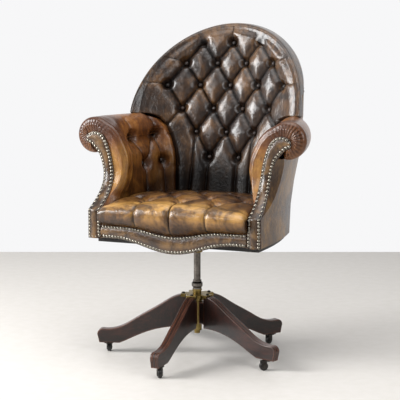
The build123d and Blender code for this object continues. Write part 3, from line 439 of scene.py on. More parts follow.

# %% [markdown]
# The legs are mahogany, sawn and reeded, then French polished: red-brown grain under a thin shellac, a
# shade paler on each edge, partly rubbed and partly a painted highlight. A straight grain would cross
# three of the five legs, so the pattern is read by distance from the column and turn about it, and every
# leg gets grain along its length. A turn of 1 is 300 mm at a leg's middle, so the grain's lines there are
# 2 mm apart. Rubber, lacquered board, bare beech and jute webbing have only a little unevenness, which
# the last function gives.


# %% Wood, rubber and board
def polished_wood(name, dark, middle, light, edge):
    """Polished mahogany with grain running out along each leg, and edges paler from rubbing and a painted
    highlight.
    """
    material, tree, shader = new_material(name)
    place = add(tree, "TexCoord", out="Object")
    x, y, z = add(tree, "SeparateXYZ", {0: place}).node.outputs
    x_squared = add(tree, "Math", {0: x, 1: x}, operation="MULTIPLY")
    y_squared = add(tree, "Math", {0: y, 1: y}, operation="MULTIPLY")
    both_squared = add(tree, "Math", {0: x_squared, 1: y_squared}, operation="ADD")
    reach = add(tree, "Math", {0: both_squared, 1: 0.5}, operation="POWER")
    turn = add(tree, "Math", {0: y, 1: x}, operation="ARCTAN2")
    along = add(tree, "Math", {0: reach, 1: 0.12}, operation="MULTIPLY")
    grain_at = add(tree, "CombineXYZ", {"X": along, "Y": turn, "Z": z})
    grain = add(tree, "TexNoise", {"Vector": grain_at, "Scale": scale_for(6.25), "Detail": 6.0,
                                   "Roughness": 0.6, "Distortion": 0.4})
    figure = add(tree, "TexNoise", {"Vector": grain_at, "Scale": scale_for(40), "Detail": 3.0})
    half_grain = add(tree, "Math", {0: grain, 1: 0.5}, operation="MULTIPLY")
    half_figure = add(tree, "Math", {0: figure, 1: 0.5}, operation="MULTIPLY")
    both = add(tree, "Math", {0: half_grain, 1: half_figure}, operation="ADD")
    wood = add(tree, "ValToRGB", {"Fac": both}, stops=[(0.4, dark), (0.52, middle), (0.66, light)])

    # an edge is where the rounded normal leaves the true one; it is paler, partly rubbed and partly a painted
    # highlight
    rounded = add(tree, "Bevel", {"Radius": 0.006}, samples=4)
    facing = add(tree, "NewGeometry", out="Normal")
    alike = add(tree, "VectorMath", {0: rounded, 1: facing}, "Value", operation="DOT_PRODUCT")
    near_edge = add(tree, "MapRange", {"Value": alike, "From Min": 0.98, "From Max": 0.86})
    strong = add(tree, "Math", {0: both, 1: 1.5}, operation="MULTIPLY")
    rubbed_and_highlighted = add(tree, "Math", {0: near_edge, 1: strong}, operation="MULTIPLY")
    colour = add(tree, "Mix", {0: rubbed_and_highlighted, 6: wood, 7: linear(edge)}, 2, **rgba)
    bump = add(tree, "Bump", {"Height": grain, "Strength": 0.2, "Distance": 0.0004})
    feed(shader, {"Base Color": colour, "Roughness": 0.36, "Coat Weight": 0.25, "Coat Roughness": 0.15,
                  "Normal": bump})
    return material


def plain_surface(name, colour, shade, roughness):
    """Plain surface with a little unevenness, in patches 33 mm across."""
    material, tree, shader = new_material(name)
    place = add(tree, "TexCoord", out="Object")
    spots = add(tree, "TexNoise", {"Vector": place, "Scale": scale_for(33.3), "Detail": 5.0})
    uneven = add(tree, "ValToRGB", {"Fac": spots}, stops=[(0.3, shade), (0.7, colour)])
    feed(shader, {"Base Color": uneven, "Roughness": roughness})
    return material


# red-brown, dark and clear under its polish, with paler edges, partly rubbed and partly a painted highlight
mahogany = polished_wood("mahogany", "#0e0604", "#220e09", "#3a1a10", "#93604a")
# moulded rubber tyres, black with a soft shine
castor_rubber = plain_surface("castor_rubber", "#1f1d1b", "#121110", 0.28)
# lacquered board under the seat, black and flat
black_board = plain_surface("black_board", "#171412", "#0e0c0b", 0.5)
# planed beech of the frame, pale and bare
beech = plain_surface("beech", "#b58a5a", "#946a3e", 0.5)
# woven jute, straw-coloured and quite matt
webbing = plain_surface("webbing", "#a18a63", "#7d6946", 0.8)
print(len(bpy.data.materials), "materials so far")

# %% [markdown]
# Legs, castors, column, nails, screws and panels have the right shape in the CAD. They could be built
# again here, but then they could drift from the solids that move, so each only gets its own material.
# The CAD's slots have plain stand-in materials, whose names say which of these belongs there.

# %% Materials for the CAD pieces
by_slot = {"mahogany": mahogany, "castor_steel": castor_iron, "castor_wheel": castor_rubber,
           "brass": brass, "dark_steel": dark_steel, "column_steel": column_steel,
           "black_board": black_board, "beech": beech, "webbing": webbing,
           "seat_leather": seat_leather, "back_leather": back_leather, "arm_leather": arm_leather,
           "outside_leather": outside_leather, "trim_leather": trim_leather, "nail_brass": nail_metal}
for name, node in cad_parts.items():
    for slot in node.material_slots:
        key = slot.material.name.split(".")[0] if slot.material else ""
        found = sorted((k for k in by_slot if k in key), key=len)
        if found:
            slot.material = by_slot[found[-1]]
        else:
            print("no material for", name, key)
for name in ("back_buttons", "arm_buttons_right", "arm_buttons_left", "seat_buttons"):
    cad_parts[name].material_slots[0].material = button_leather
print(len(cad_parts), "CAD pieces dressed")

# %% [markdown]
# The inside back is one hide, pulled into diamonds by buttons tied through to the webbing behind. Six
# rows of buttons stand half a pitch out of step, and a crease runs from each to its neighbours above
# and below. Near the rim and towards the seat the hide is only pleated. The diamonds could be sculpted,
# but with the buttons and creases as lists, both the leather and the CAD's buttons use one pattern.

# %% Buttons and creases of the back
back_rows = [932, 868, 800, 728, 655, 578]
back_counts = [3, 4, 5, 4, 3, 2]
pitch = 94
rows = [[((n - (count - 1) / 2) * pitch, z) for n in range(count)]
        for z, count in zip(back_rows, back_counts)]
back_buttons = [point for row in rows for point in row]
creases = [(a, b) for upper, lower in zip(rows, rows[1:]) for a in upper for b in lower
           if abs(a[0] - b[0]) < 0.75 * pitch]
middle_pleat = ((0, 932), (0, 995))
rim_pleats = [middle_pleat] + both_sides([((94, 932), (132, 985)), ((141, 868), (232, 895)),
                                          ((188, 800), (285, 812))])
low_pleats = both_sides([((47, 578), (49, 440)), ((94, 655), (100, 440)), ((141, 728), (178, 676))])
seam_line = [(267, 719), (250, 716), (234, 711), (218, 705), (202, 697), (181, 675), (165, 640), (150, 600),
             (143, 560), (139.5, 500), (136.5, 475), (135, 448)]
rim_edge = arch_radius - 11
print(len(back_buttons), "buttons and", len(creases), "creases in the back")

# %% [markdown]
# Between its creases the stuffed hide rises steeply and is nearly flat on top, and each button pulls a
# pit. A noise texture would give bumps without order, so the height is added up from those parts, and
# the same distances say how deep in a fold or pit each point lies, which darkens the leather there as
# painted shade.


# %% Height of the back's leather
crease_depth, pillow_rise, pillow_reach = 9, 17, 36
pit_depth, pit_flat = 15.5, 6


def back_height(x, z):
    """Height of the stuffed leather over the CAD face, and the painted shade of its folds and pits."""
    near = soft_distance(x, z, creases)
    low = soft_distance(x, z, low_pleats)
    rim = soft_distance(x, z, rim_pleats, 1.0)
    hole = point_distance(x, z, back_buttons)
    height = (-crease_depth + pillow_rise * pillow(near, pillow_reach)
              - 9 * np.exp(-low / 6) - 4 * np.exp(-rim / 3))
    dip = np.exp(-(np.maximum(hole - pit_flat, 0) / 8) ** 2)
    height = height * (1 - dip) - pit_depth * dip
    fold = np.maximum(np.exp(-(np.maximum(near, 0) / 4.2) ** 1.6), np.exp(-(rim / 1.6) ** 2) * 0.8)
    fold = np.maximum(fold, np.exp(-low / 3.5) * 0.9)
    return height, np.clip(np.maximum(fold, dip ** 2 * 0.95), 0, 1)

# %% [markdown]
# The face of the back is made as a fan of rows, from a spine up the middle out to the arch and, lower
# down, to the seam with the arm leather. A plain grid would end in steps at a curved edge, and a fan has
# its last row exactly on it. Only the right half is made, and a mirror image gives the left. Each point
# then moves out along the leaning face by the height of the stuffed leather.


# %% Face of the back
def fan(boundary, spine, spacing):
    """Front-view points of a fan: rings from the spine to the boundary, for each boundary point."""
    rings = round(300 / spacing)
    share = np.linspace(0, 1, rings + 1) ** 0.9
    x = share[None, :] * boundary[:, :1]
    z = spine[:, None] + share[None, :] * (boundary[:, 1:2] - spine[:, None])
    return x, z


quarter = np.linspace(math.pi / 2, 0, round(rim_edge * math.pi / 2 / step))
rim_reach = (arch_radius - 4 - 7 * np.sin(quarter))[:, None]
arch_line = np.stack([np.cos(quarter), np.sin(quarter)], axis=1) * rim_reach + np.array([0, arch_centre])
low_line = resample([(270, 714), (250, 713), (234, 710)] + seam_line[3:], step)
arch_rows = len(arch_line)
boundary = np.concatenate([arch_line, low_line])
spine = np.minimum(boundary[:, 1], arch_centre)
x_flat, z = fan(boundary, spine, step)
edge_s = path_length(pad_plan(boundary[:, 1]), boundary[:, 0])
share = x_flat / np.maximum(boundary[:, :1], 1e-6)
share[boundary[:, 0] < 1e-3] = 0
x, y, nx, ny = path_point(pad_plan(z), share * edge_s[:, None])
height, fold = back_height(x, z)
in_arch = np.arange(len(boundary)) < arch_rows
below_arch = np.where(in_arch, 0, smooth(714, 696, boundary[:, 1]))[:, None]
from_middle = np.where(z > arch_centre, np.hypot(x, z - arch_centre), x)
edge_fade = smooth(rim_edge, rim_edge - 30, from_middle)
edge_fade = edge_fade + (1 - edge_fade) * below_arch
seam_gap = (1 - share) * edge_s[:, None]
height = height * edge_fade - 9 * np.exp(-seam_gap / 6) * below_arch
height = np.maximum(height, -30 + 31.5 * smooth(205, 238, from_middle))
# painted shade: darker towards the seat and beside the arms
back_shade = 0.92 * smooth(650, 500, z) + 0.5 * smooth(120, 190, x) * smooth(720, 640, z)
back_shade = np.clip(back_shade, 0, 0.95)
lean_size = math.sqrt(1 + back_lean ** 2)
face = np.stack([x - nx * height / lean_size, y - ny * height / lean_size,
                 z + back_lean * height / lean_size], axis=-1)
print("face of the back:", face.shape[:2], "points")

# %% [markdown]
# At the arch the hide rolls over the edge and runs back to the outside leather, and below it the hide
# turns away behind the arm leather. A bevel could round the edge, but it would round the seam as well.
# So each row goes on by hand: over the rim in a curve through the corner, or in a quarter turn behind
# the seam, and the two kinds of row join into one mesh.

# %% Rim and seam of the back
corner_x = arch_radius * np.cos(quarter)
corner_z = arch_centre + arch_radius * np.sin(quarter)
corner_y = path_point(pad_plan(corner_z), path_length(pad_plan(corner_z), corner_x))[1]
rear_y = path_point(outer_plan(corner_z), path_length(outer_plan(corner_z), corner_x))[1]
first = face[:arch_rows, -1]
corner = np.stack([corner_x, corner_y, corner_z], axis=1)
depth = 3 + 12 * np.sin(quarter)
second = corner + np.stack([0 * depth, depth, 0 * depth], axis=1)
rim_rows = []
for share_on in np.linspace(0, 1, 8)[1:]:
    rim_rows.append(first * (1 - share_on) ** 2 + corner * 2 * share_on * (1 - share_on)
                    + second * share_on ** 2)
for share_on in np.linspace(0, 1, 8)[1:]:
    row = second.copy()
    row[:, 1] += (rear_y - 1.5 - second[:, 1]) * share_on
    rim_rows.append(row)
inwards = np.stack([-np.cos(quarter) * 5, 0 * quarter + 1.5, -np.sin(quarter) * 5], axis=1)
rim_rows.append(rim_rows[-1] + inwards)
rim = np.stack(rim_rows, axis=1)

last = face[arch_rows:, -1]
outwards = np.gradient(low_line, axis=0)
outwards = np.stack([-outwards[:, 1], 0 * outwards[:, 0], outwards[:, 0]], axis=1)
outwards /= np.linalg.norm(outwards, axis=1)[:, None]
away = np.stack([nx[arch_rows:, -1], ny[arch_rows:, -1], 0 * low_line[:, 0]], axis=1)
reach_away = (2 + 14 * smooth(268, 235, low_line[:, 0]))[:, None]
tucked = [last + outwards * 10 * math.sin(share_on * math.pi / 2) + away * reach_away * share_on
          for share_on in np.linspace(0, 1, rim.shape[1] + 1)[1:]]
tucked = np.stack(tucked, axis=1)
edge_rows = np.concatenate([rim, tucked])
print("rim and seam:", edge_rows.shape[:2], "points")

# %% [markdown]
# Face, rim and seam now make one piece.

# %% Inside back
right_half = np.concatenate([face, edge_rows], axis=1)
# the rows tucked behind the seam get painted shade and the rim a darker line; the crowns are paler, partly
# wear and partly a painted highlight
edge_fold = np.concatenate([np.zeros(rim.shape[:2]), np.ones(tucked.shape[:2])])
edge_fold[:arch_rows, 7:8] = 0.6
back_looks = {"fold": np.concatenate([fold, edge_fold], axis=1),
              "worn": smooth(2, 6, np.concatenate([height, 0 * edge_rows[..., 0]], axis=1)) * 0.18,
              "shade": np.concatenate([back_shade, 0 * edge_rows[..., 0]], axis=1)}
inside_back = mesh_piece("inside_back", [right_half[:, ::-1], mirrored(right_half)],
                         {look: [values[:, ::-1]] * 2 for look, values in back_looks.items()})
inside_back.data.materials.append(back_leather)
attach(inside_back, "seat")
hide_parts("back_pad", "rim_band")
print("inside back:", len(inside_back.data.vertices), "points")

# %% [markdown]
# Each inside arm is a stuffed wall that goes over into a roll, with no seam between them. Two meshes
# could be joined by a boolean and smoothed, but the join stays sharp and its faces are uneven. Here one
# function says how far a place is from the wall and the roll blended together, and rays from inside
# the padding look for its surface.

# %% Wall and roll of the arm
blend_size = 26.0
ray_length, ray_steps, ray_fallback = 130.0, 40, 18.0


def arm_space(x, y, z):
    """How far a point is from the arm's stuffed surface, less than 0 inside it."""
    # the wall: the padding's inside face, fuller towards the front, cut off above and at the panel
    fuller = smooth(15, -55, y)
    wall = -outside_by(pad_plan(z), x, y) - np.interp(z, swell_levels, swell_depths) * fuller
    wall = np.maximum(wall, z - 664 - 36 * fuller - 150 * smooth(110, 185, y))
    wall = np.maximum(wall, outside_by(outer_plan(z), x, y) + 6)
    # the roll: a bar that bows outwards, tapers to the rear and has a round end there
    along = np.clip((y - roll_front[1]) / (roll_rear[1] - roll_front[1]), -1, 1)
    axis = roll_front + along[..., None] * (roll_rear - roll_front)
    axis[..., 0] += roll_bow * 4 * np.clip(along, 0, 1) * (1 - np.clip(along, 0, 1))
    past = np.maximum(y - roll_rear[1], 0)
    roll = np.sqrt((x - axis[..., 0]) ** 2 + (z - axis[..., 2]) ** 2 + past ** 2)
    roll -= roll_front_radius + along * (roll_rear_radius - roll_front_radius)
    # both, with their meeting rounded
    mixed = np.clip(0.5 + 0.5 * (roll - wall) / blend_size, 0, 1)
    return roll + (wall - roll) * mixed - blend_size * mixed * (1 - mixed) * 0.6


def surface_along(origin, direction):
    """How far along each ray the outermost surface point is."""
    best = np.zeros(origin.shape[:-1])
    previous = arm_space(*np.moveaxis(origin, -1, 0))
    for n in range(1, ray_steps + 1):
        distance = ray_length * n / ray_steps
        value = arm_space(*np.moveaxis(origin + direction * distance, -1, 0))
        crossing = (previous <= 0) & (value > 0)
        exact = distance - (ray_length / ray_steps) * value / np.maximum(value - previous, 1e-6)
        best = np.where(crossing, exact, best)
        previous = value
    inside = previous <= 0
    return np.where(inside, ray_fallback, best)


# %% [markdown]
# Rows go up the wall to the roll's middle and then round the roll. Stations go from the front of the
# arm straight back, and then in steps round the corner to the seam. Equal steps in x and y would bunch
# up on the roll, but turns of one angle stay even there.

# %% Rows and stations of the arm
wall_foot, roll_middle, roll_size = 440, 655, 50
wall_z = np.arange(wall_foot, roll_middle + 1, step)
turns = np.radians(np.arange(180, -111, -math.degrees(step / roll_size)))
row_count = len(wall_z) + len(turns)
row_b = np.concatenate([wall_z, roll_middle + (math.pi - turns) * roll_size])
row_level = np.concatenate([wall_z, np.full(len(turns), float(roll_middle))])
row_front = front_y(row_level)
front_round = 6 + 9 * smooth(540, 740, row_b)

reference = pad_plan(np.array(600.0))
corner_y_at = 60.0
straight = np.linspace(0, 1, round(160 / step))
depth_y = (row_front[:, None] + front_round[:, None]
           + straight[None, :] * (corner_y_at - row_front - front_round)[:, None])
probe_s = np.arange(100, 420, 1.0)
probe = path_point(reference, probe_s)


def s_at(y):
    """Distance along the outline at which the arm reaches a depth."""
    return np.interp(-y, -probe[1], probe_s)


turn_s = np.arange(float(s_at(corner_y_at)) - step, 118, -step)
station_s = np.concatenate([s_at(depth_y), np.repeat(turn_s[None, :], row_count, axis=0)], axis=1)
px, py, pnx, pny = path_point(reference, station_s)

# %% [markdown]
# Each ray starts inside the padding: on the way up at the wall's own level, and for the roll on its
# axis, where that crosses the upright plane of the station. Starting all rays from one place would
# be simpler, but the roll bows outwards and tapers, and its far side would get no points.

# %% Arm surface
run = (roll_rear - roll_front)[:2]
tx, ty = -pny, pnx
share_axis = ((px - roll_front[0]) * tx + (py - roll_front[1]) * ty) / (run[0] * tx + run[1] * ty)
share_axis = np.clip(share_axis, -0.5, 1)
axis_x = roll_front[0] + share_axis * run[0]
axis_y = roll_front[1] + share_axis * run[1]
offset = (axis_x - px) * pnx + (axis_y - py) * pny
offset = np.clip(offset, 30, 80)
axis_z = roll_front[2] + share_axis * (roll_rear[2] - roll_front[2])
is_wall = (np.arange(row_count) < len(wall_z))[:, None]
level = row_level[:, None]
level = np.where(is_wall, level + (axis_z - roll_middle) * smooth(560, 655, level), axis_z)
origin = np.stack([px + pnx * offset, py + pny * offset, level + 0 * px], axis=-1)
angle = np.concatenate([np.full(len(wall_z), math.pi), turns])[:, None]
direction = np.stack([pnx * np.cos(angle), pny * np.cos(angle), np.sin(angle) + 0 * px], axis=-1)
surface = origin + direction * surface_along(origin, direction)[..., None]


def evened(grid, reach):
    """The grid with each column smoothed over a few rows, its ends kept."""
    weights = np.exp(-np.linspace(-2, 2, 2 * reach + 1) ** 2)
    padded = np.concatenate([2 * grid[:1] - grid[reach:0:-1], grid, 2 * grid[-1:] - grid[-2:-reach - 2:-1]])
    total = sum(w * padded[n:n + len(grid)] for n, w in enumerate(weights))
    return total / weights.sum()


surface = evened(surface, round(16 / step))
print("arm surface:", surface.shape[:2], "points")

# %% [markdown]
# Four buttons hold each arm's leather, with creases between them and pleats up to the roll and down to
# the seat. They could be laid out in the side view, but then they would squeeze together where the arm
# turns the corner. So they are placed as an upholsterer places them, on the flat hide: distance along
# the outline from the front of the bow, and height up the wall and over the roll.

# %% Arm tufts
arm_tufts = [(40, 638), (134, 636), (84, 560), (150, 565)]
bow_front = -99.0
bow_s = float(s_at(bow_front))
map_x = bow_s - station_s + bow_front
map_z = np.repeat(row_b[:, None], map_x.shape[1], axis=1)
tuft_map = [(bow_s - float(s_at(y)) + bow_front, z) for y, z in arm_tufts]
ta, tb, tc, td = tuft_map
arm_creases = [(ta, tc), (tb, tc), (tb, td)]
arm_pleats = [(ta, (ta[0] - 12, 712)), (tb, (tb[0] - 14, 715)),
              (tc, (tc[0] + 2, 440)), (td, (td[0] + 3, 440))]
near = soft_distance(map_x, map_z, arm_creases)
pleat = soft_distance(map_x, map_z, arm_pleats)
hole = point_distance(map_x, map_z, tuft_map)
arm_crease, arm_pleat, arm_fullness, arm_pit = 8.0, 6.0, 3.0, 14.6
height = (-arm_crease * np.exp(-near / 7) - arm_pleat * np.exp(-pleat / 7)
          + arm_fullness * smooth(760, 700, map_z))
dip = np.exp(-(np.maximum(hole - 5.5, 0) / 12) ** 2)
height = height * (1 - dip) - arm_pit * dip
from_front = map_x - map_x[:, :1]
height *= smooth(0, 30, from_front)
height -= 2.2 * np.exp(-((from_front - 15) / 3.5) ** 2) * smooth(700, 640, map_z)
# painted shade in the creases, pleats and pits
fold = np.maximum(np.exp(-near / 2.2), 0.8 * np.exp(-pleat / 2)) * smooth(740, 700, map_z)
fold = np.maximum(fold, dip ** 2 * 0.9)
print("arm tufts on the flat hide:", [(round(x), z) for x, z in tuft_map])

# %% [markdown]
# Where the arm meets the back, the upholsterer tucks the arm's hide in behind the back's. Cutting the
# mesh along the seam would leave ragged faces, so the rows past the seam sink out of sight instead,
# and never so far that they would come out through the outside panel.

# %% Arm leather behind the seam
seam = np.array(seam_line)[::-1]
seam_x = np.interp(surface[..., 2], seam[:, 1], seam[:, 0])
past_seam = (seam_x - surface[..., 0]) * (surface[..., 1] > 100)
past_seam = np.where(surface[..., 2] > 719, 40, past_seam)
past_seam = np.where(surface[..., 1] > 100, past_seam, -60)
height = height * smooth(2, -12, past_seam) - 7 * np.exp(-np.maximum(-past_seam, 0) / 5)
# painted shade along the seam with the back
fold = np.maximum(fold, np.exp(-abs(past_seam) / 2.5) * 0.8)
arm_face = surface + direction * height[..., None]
hidden = 22 * smooth(0, 12, past_seam)
arm_face[..., 0] += pnx * hidden
arm_face[..., 1] += pny * hidden
arm_face[..., 2] = np.where(past_seam > 0, np.minimum(arm_face[..., 2], 708), arm_face[..., 2])
poking = np.maximum(outside_by(outer_plan(arm_face[..., 2]), arm_face[..., 0], arm_face[..., 1]) + 6, 0)
poking = np.where((past_seam > 0) & (arm_face[..., 1] > 100), poking, 0)
arm_face[..., 0] -= pnx * poking
arm_face[..., 1] -= pny * poking

# %% [markdown]
# At the front of the arm the hide turns a rounded edge and runs in under the facing, and on the roll
# it is gathered into small pleats. A displace modifier could wrinkle it anywhere, but real gathers all
# run towards the facing. So each row is led to the nearest point of the facing's inner edge, and a
# ridge every 11 mm stands a little proud.

# %% Arm fronts
facing_outer = [(268, 447), (266, 560), (270, 578), (279, 602), (294, 620), (308, 632), (318.6, 636)]
facing_tip = (321.6, 647.7)
facing_inner = [(317.4, 659.4), (303, 667), (285, 668), (266, 658), (252, 637), (240, 600), (233, 565),
                (229, 521), (228, 464)]
outer_foot, inner_foot = (268, tub_floor), (226.5, tub_floor)
edge = arm_face[:, 0]
inward = np.gradient(edge, axis=0)
inward = np.stack([inward[:, 2], 0 * inward[:, 0], -inward[:, 0]], axis=1)
inward /= np.maximum(np.linalg.norm(inward, axis=1), 1e-6)[:, None]
gather = smooth(660, 700, row_b)
gather_pitch = 11.0
ridges = np.abs(np.sin(math.pi * row_b / gather_pitch)) ** 0.7
front_rows = []
for share_on in np.linspace(0, 1, 9)[1:]:
    turn = share_on * math.pi / 2
    row = edge + inward * (front_round * (1 - np.cos(turn)))[:, None]
    row[:, 1] = edge[:, 1] - front_round * np.sin(turn) - gather * ridges * 1.4 * share_on
    front_rows.append(row)
turned = front_rows[-1]
facing_dots = resample(np.array(facing_inner + [inner_foot]), 2.0)
flat_edge = turned[:, [0, 2]]
nearest = np.linalg.norm(flat_edge[:, None] - facing_dots[None], axis=2).argmin(axis=1)
to_facing = facing_dots[nearest] - flat_edge
to_facing *= 1 + 5 / np.maximum(np.linalg.norm(to_facing, axis=1), 5)[:, None]
for share_on in (0.12, 0.24, 0.36, 0.5, 0.65, 0.8, 1.0):
    row = turned.copy()
    row[:, [0, 2]] += to_facing * share_on
    row[:, 1] = front_y(row[:, 2]) - gather * ridges * 2.4 * smooth(0.9, 0.16, share_on) + 0.8
    front_rows.append(row)
front_part = np.stack(front_rows[::-1], axis=1)
arm_grid = np.concatenate([front_part, arm_face], axis=1)
print("arm:", arm_grid.shape[:2], "points with its front")

# %% [markdown]
# Wear could be painted by hand, but it follows from the arm's shape: sleeves rub the crowns, which also
# get a painted highlight, the low and rear parts get painted shade, and the leather is darker red along
# the front edge and under the roll.
# Each becomes a value from 0 to 1 at every point. Three more rows then run on from the underside of
# the roll towards the outside panel, so that less of the gap under it shows.

# %% Arm leather
# painted shade between the gathered ridges at the roll's front
front_fold = np.stack([gather * (1 - ridges) * 0.9 * smooth(1, 6, n)
                       for n in range(len(front_rows))][::-1], axis=1)
# a paler front band and paler crowns, partly wear and partly a painted highlight
front_wear_and_highlight = 0.4 * smooth(650, 600, row_b)[:, None] * smooth(480, 520, row_b)[:, None]
face_wear_and_highlight = smooth(-2, 3, height) * 0.3 * smooth(640, 560, map_z)
# darker red-brown along the front edge and up on the roll
redness = (0.3 + 0.6 * smooth(600, 690, row_b) - 0.35 * smooth(720, 800, row_b))[:, None]
border_end = 24 + 80 * smooth(640, 700, row_b)[:, None]
border = np.concatenate([redness + 0 * front_fold,
                         redness * smooth(1, 0.1, from_front / border_end)], axis=1)
over_roll = np.concatenate([0 * front_fold + row_b[:, None], map_z], axis=1)
# painted shade low on the wall and in the rear corner
low_shade = 0.6 * smooth(545, 470, surface[..., 2])
rear_shade = 0.75 * smooth(30, 170, surface[..., 1]) * smooth(680, 520, surface[..., 2])
arm_looks = {"fold": np.concatenate([front_fold, fold], axis=1),
             "worn": np.concatenate([0 * front_fold + front_wear_and_highlight, face_wear_and_highlight], axis=1),
             "border": np.maximum(border, 0.3 * smooth(680, 740, over_roll)),
             "shade": np.concatenate([0 * front_fold, np.clip(low_shade + rear_shade, 0, 0.9)], axis=1)}
to_panel = np.stack([-pnx[-1], -pny[-1], 0 * pnx[-1]], axis=1)
to_panel = np.concatenate([np.tile([-1.0, 0, 0], (len(front_rows), 1)), to_panel])
under_roll = [(arm_grid[-1] + to_panel * reach)[None] for reach in (10, 20, 30)]
arm_grid = np.concatenate([arm_grid] + under_roll)
arm_looks = {look: np.pad(values, ((0, len(under_roll)), (0, 0)), mode="edge")
             for look, values in arm_looks.items()}
for side, name in ((1, "right"), (-1, "left")):
    grid = arm_grid if side == 1 else mirrored(arm_grid)
    arm = mesh_piece(f"arm_leather_{name}", [grid],
                     {look: [values[:, ::side]] for look, values in arm_looks.items()})
    arm.data.materials.append(arm_leather)
    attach(arm, "seat")
    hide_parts(f"arm_pad_{name}")
    print(arm.name, len(arm.data.vertices), "points")

# %% [markdown]
# The seat is a sprung cushion under a tufted hide. Fourteen buttons make its diamonds, and three pleats
# run from the front row over the nose to the rail. Its buttons and creases are again laid out on the
# flat hide, so that they keep their pitch where the cushion rolls down at the front.

# %% Buttons and creases of the seat
seat_rows_y = [-125, -45, 35, 112]
seat_pitch = 110
seat_rows = [[(x * seat_pitch, y) for x in ((-1, 0, 1) if n % 2 == 0 else (-1.5, -0.5, 0.5, 1.5))]
             for n, y in enumerate(seat_rows_y)]
seat_buttons = [point for row in seat_rows for point in row]
seat_creases = [(a, b) for front, back in zip(seat_rows, seat_rows[1:]) for a in front for b in back
                if abs(a[0] - b[0]) < 0.75 * seat_pitch]
front_pleats = [((x, -125), (x, -330)) for x, y in seat_rows[0]]
side_pleats = both_sides([((165, -45), (235, -60)), ((165, 112), (225, 125))])
print(len(seat_buttons), "buttons and", len(seat_creases), "creases in the seat")

# %% [markdown]
# From the side, the cushion is two arcs: a long flat crest and a tight nose that drops to the front
# rail. A subdivided box would have the wrong section there, and the eye catches it at once. So the
# section is a path of points along the arcs, and every point of the path carries one row across.


# %% Section of the seat
def arc_through(a, b, c):
    """Centre and radius of the circle through three flat points."""
    (ax, ay), (bx, by), (cx, cy) = a, b, c
    d = 2 * (ax * (by - cy) + bx * (cy - ay) + cx * (ay - by))
    aa, bb, cc = ax ** 2 + ay ** 2, bx ** 2 + by ** 2, cx ** 2 + cy ** 2
    ux = (aa * (by - cy) + bb * (cy - ay) + cc * (ay - by)) / d
    uy = (aa * (cx - bx) + bb * (ax - cx) + cc * (bx - ax)) / d
    return ux, uy, math.hypot(ax - ux, ay - uy)


def serpentine(x, middle, end, reach):
    """Height of a rail's edge that dips from its ends to its middle within reach."""
    return middle + (end - middle) * (1 - np.cos(math.pi * np.clip(x / reach, -1, 1))) / 2


rail_foot, rail_top = (332, 366, 185), (384, 404, 150)
seat_plan = pad_plan(np.array(470.0))
nose_points = [(-179, 406), (-205, 440), (-168, 471)]
nose = arc_through(*nose_points)
crest = arc_through(nose_points[2], (-70, 482), (float(seat_plan["rear"]), 470))
nose_turns = np.unwrap([math.atan2(z - nose[1], y - nose[0]) for y, z in nose_points])
nose_count = round(abs(nose_turns[2] - nose_turns[0]) * nose[2] / step)
nose_path = [(nose[0] + nose[2] * math.cos(t), nose[1] + nose[2] * math.sin(t))
             for t in np.linspace(nose_turns[0], nose_turns[2], nose_count)]
fan_start = 55.0
top_path = [(y, crest[1] + math.sqrt(crest[2] ** 2 - (y - crest[0]) ** 2))
            for y in np.arange(nose_points[2][0] + step, fan_start, step)]
path = np.array([(-170, 394), (-177, 399)] + nose_path + top_path)
lengths = np.concatenate([[0], np.cumsum(np.linalg.norm(np.diff(path, axis=0), axis=1))])
flat_y = lengths - lengths[-1] + path[-1, 0]
print("seat section:", len(path), "points,", round(lengths[-1]), "mm")

# %% [markdown]
# Between the arms the rows run straight across, and behind them they close in a fan on the curved back
# of the tub. The crown, tufts and pleats then move each point along its row's outward direction, and
# four rows more make the skirt that goes down beside the arms.

# %% Seat surface
seat_side = 222
at_seat = path_point(seat_plan, probe_s)
edge_x = np.interp(-path[:, 0], -at_seat[1], at_seat[0])
edge_x = np.where(path[:, 0] < -98, seat_side + 5.5 * smooth(-170, -180, path[:, 0]), edge_x) - 0.5
rings = round(seat_side / step)
share = np.linspace(0, 1, rings + 1)
side_x = edge_x[:, None] * share
side_y = np.repeat(path[:, :1], rings + 1, axis=1)
side_z = np.repeat(path[:, 1:], rings + 1, axis=1)
side_map = np.repeat(flat_y[:, None], rings + 1, axis=1)
to_rail = rail_top[1] - serpentine(side_x, *rail_top)
side_z = np.where(side_y < -165, side_z - to_rail * smooth(445, 400, side_z), side_z)
s_fan = float(np.interp(-fan_start, -probe[1], probe_s))
fan_s = np.linspace(s_fan, 0, round(s_fan / step))
rear_x, rear_line_y = path_point(seat_plan, fan_s)[:2]
fan_x = rear_x[:, None] * share
fan_y = fan_start + (rear_line_y - fan_start)[:, None] * share
fan_z = crest[1] + np.sqrt(crest[2] ** 2 - (fan_y - crest[0]) ** 2)
x = np.concatenate([side_x, fan_x])
y = np.concatenate([side_y, fan_y])
z = np.concatenate([side_z, fan_z])
map_y = np.concatenate([side_map, fan_y])
along = np.gradient(path, axis=0)
along /= np.linalg.norm(along, axis=1)[:, None]
up_y = np.concatenate([-along[:, 1], np.zeros(len(fan_s))])[:, None]
up_z = np.concatenate([along[:, 0], np.ones(len(fan_s))])[:, None]

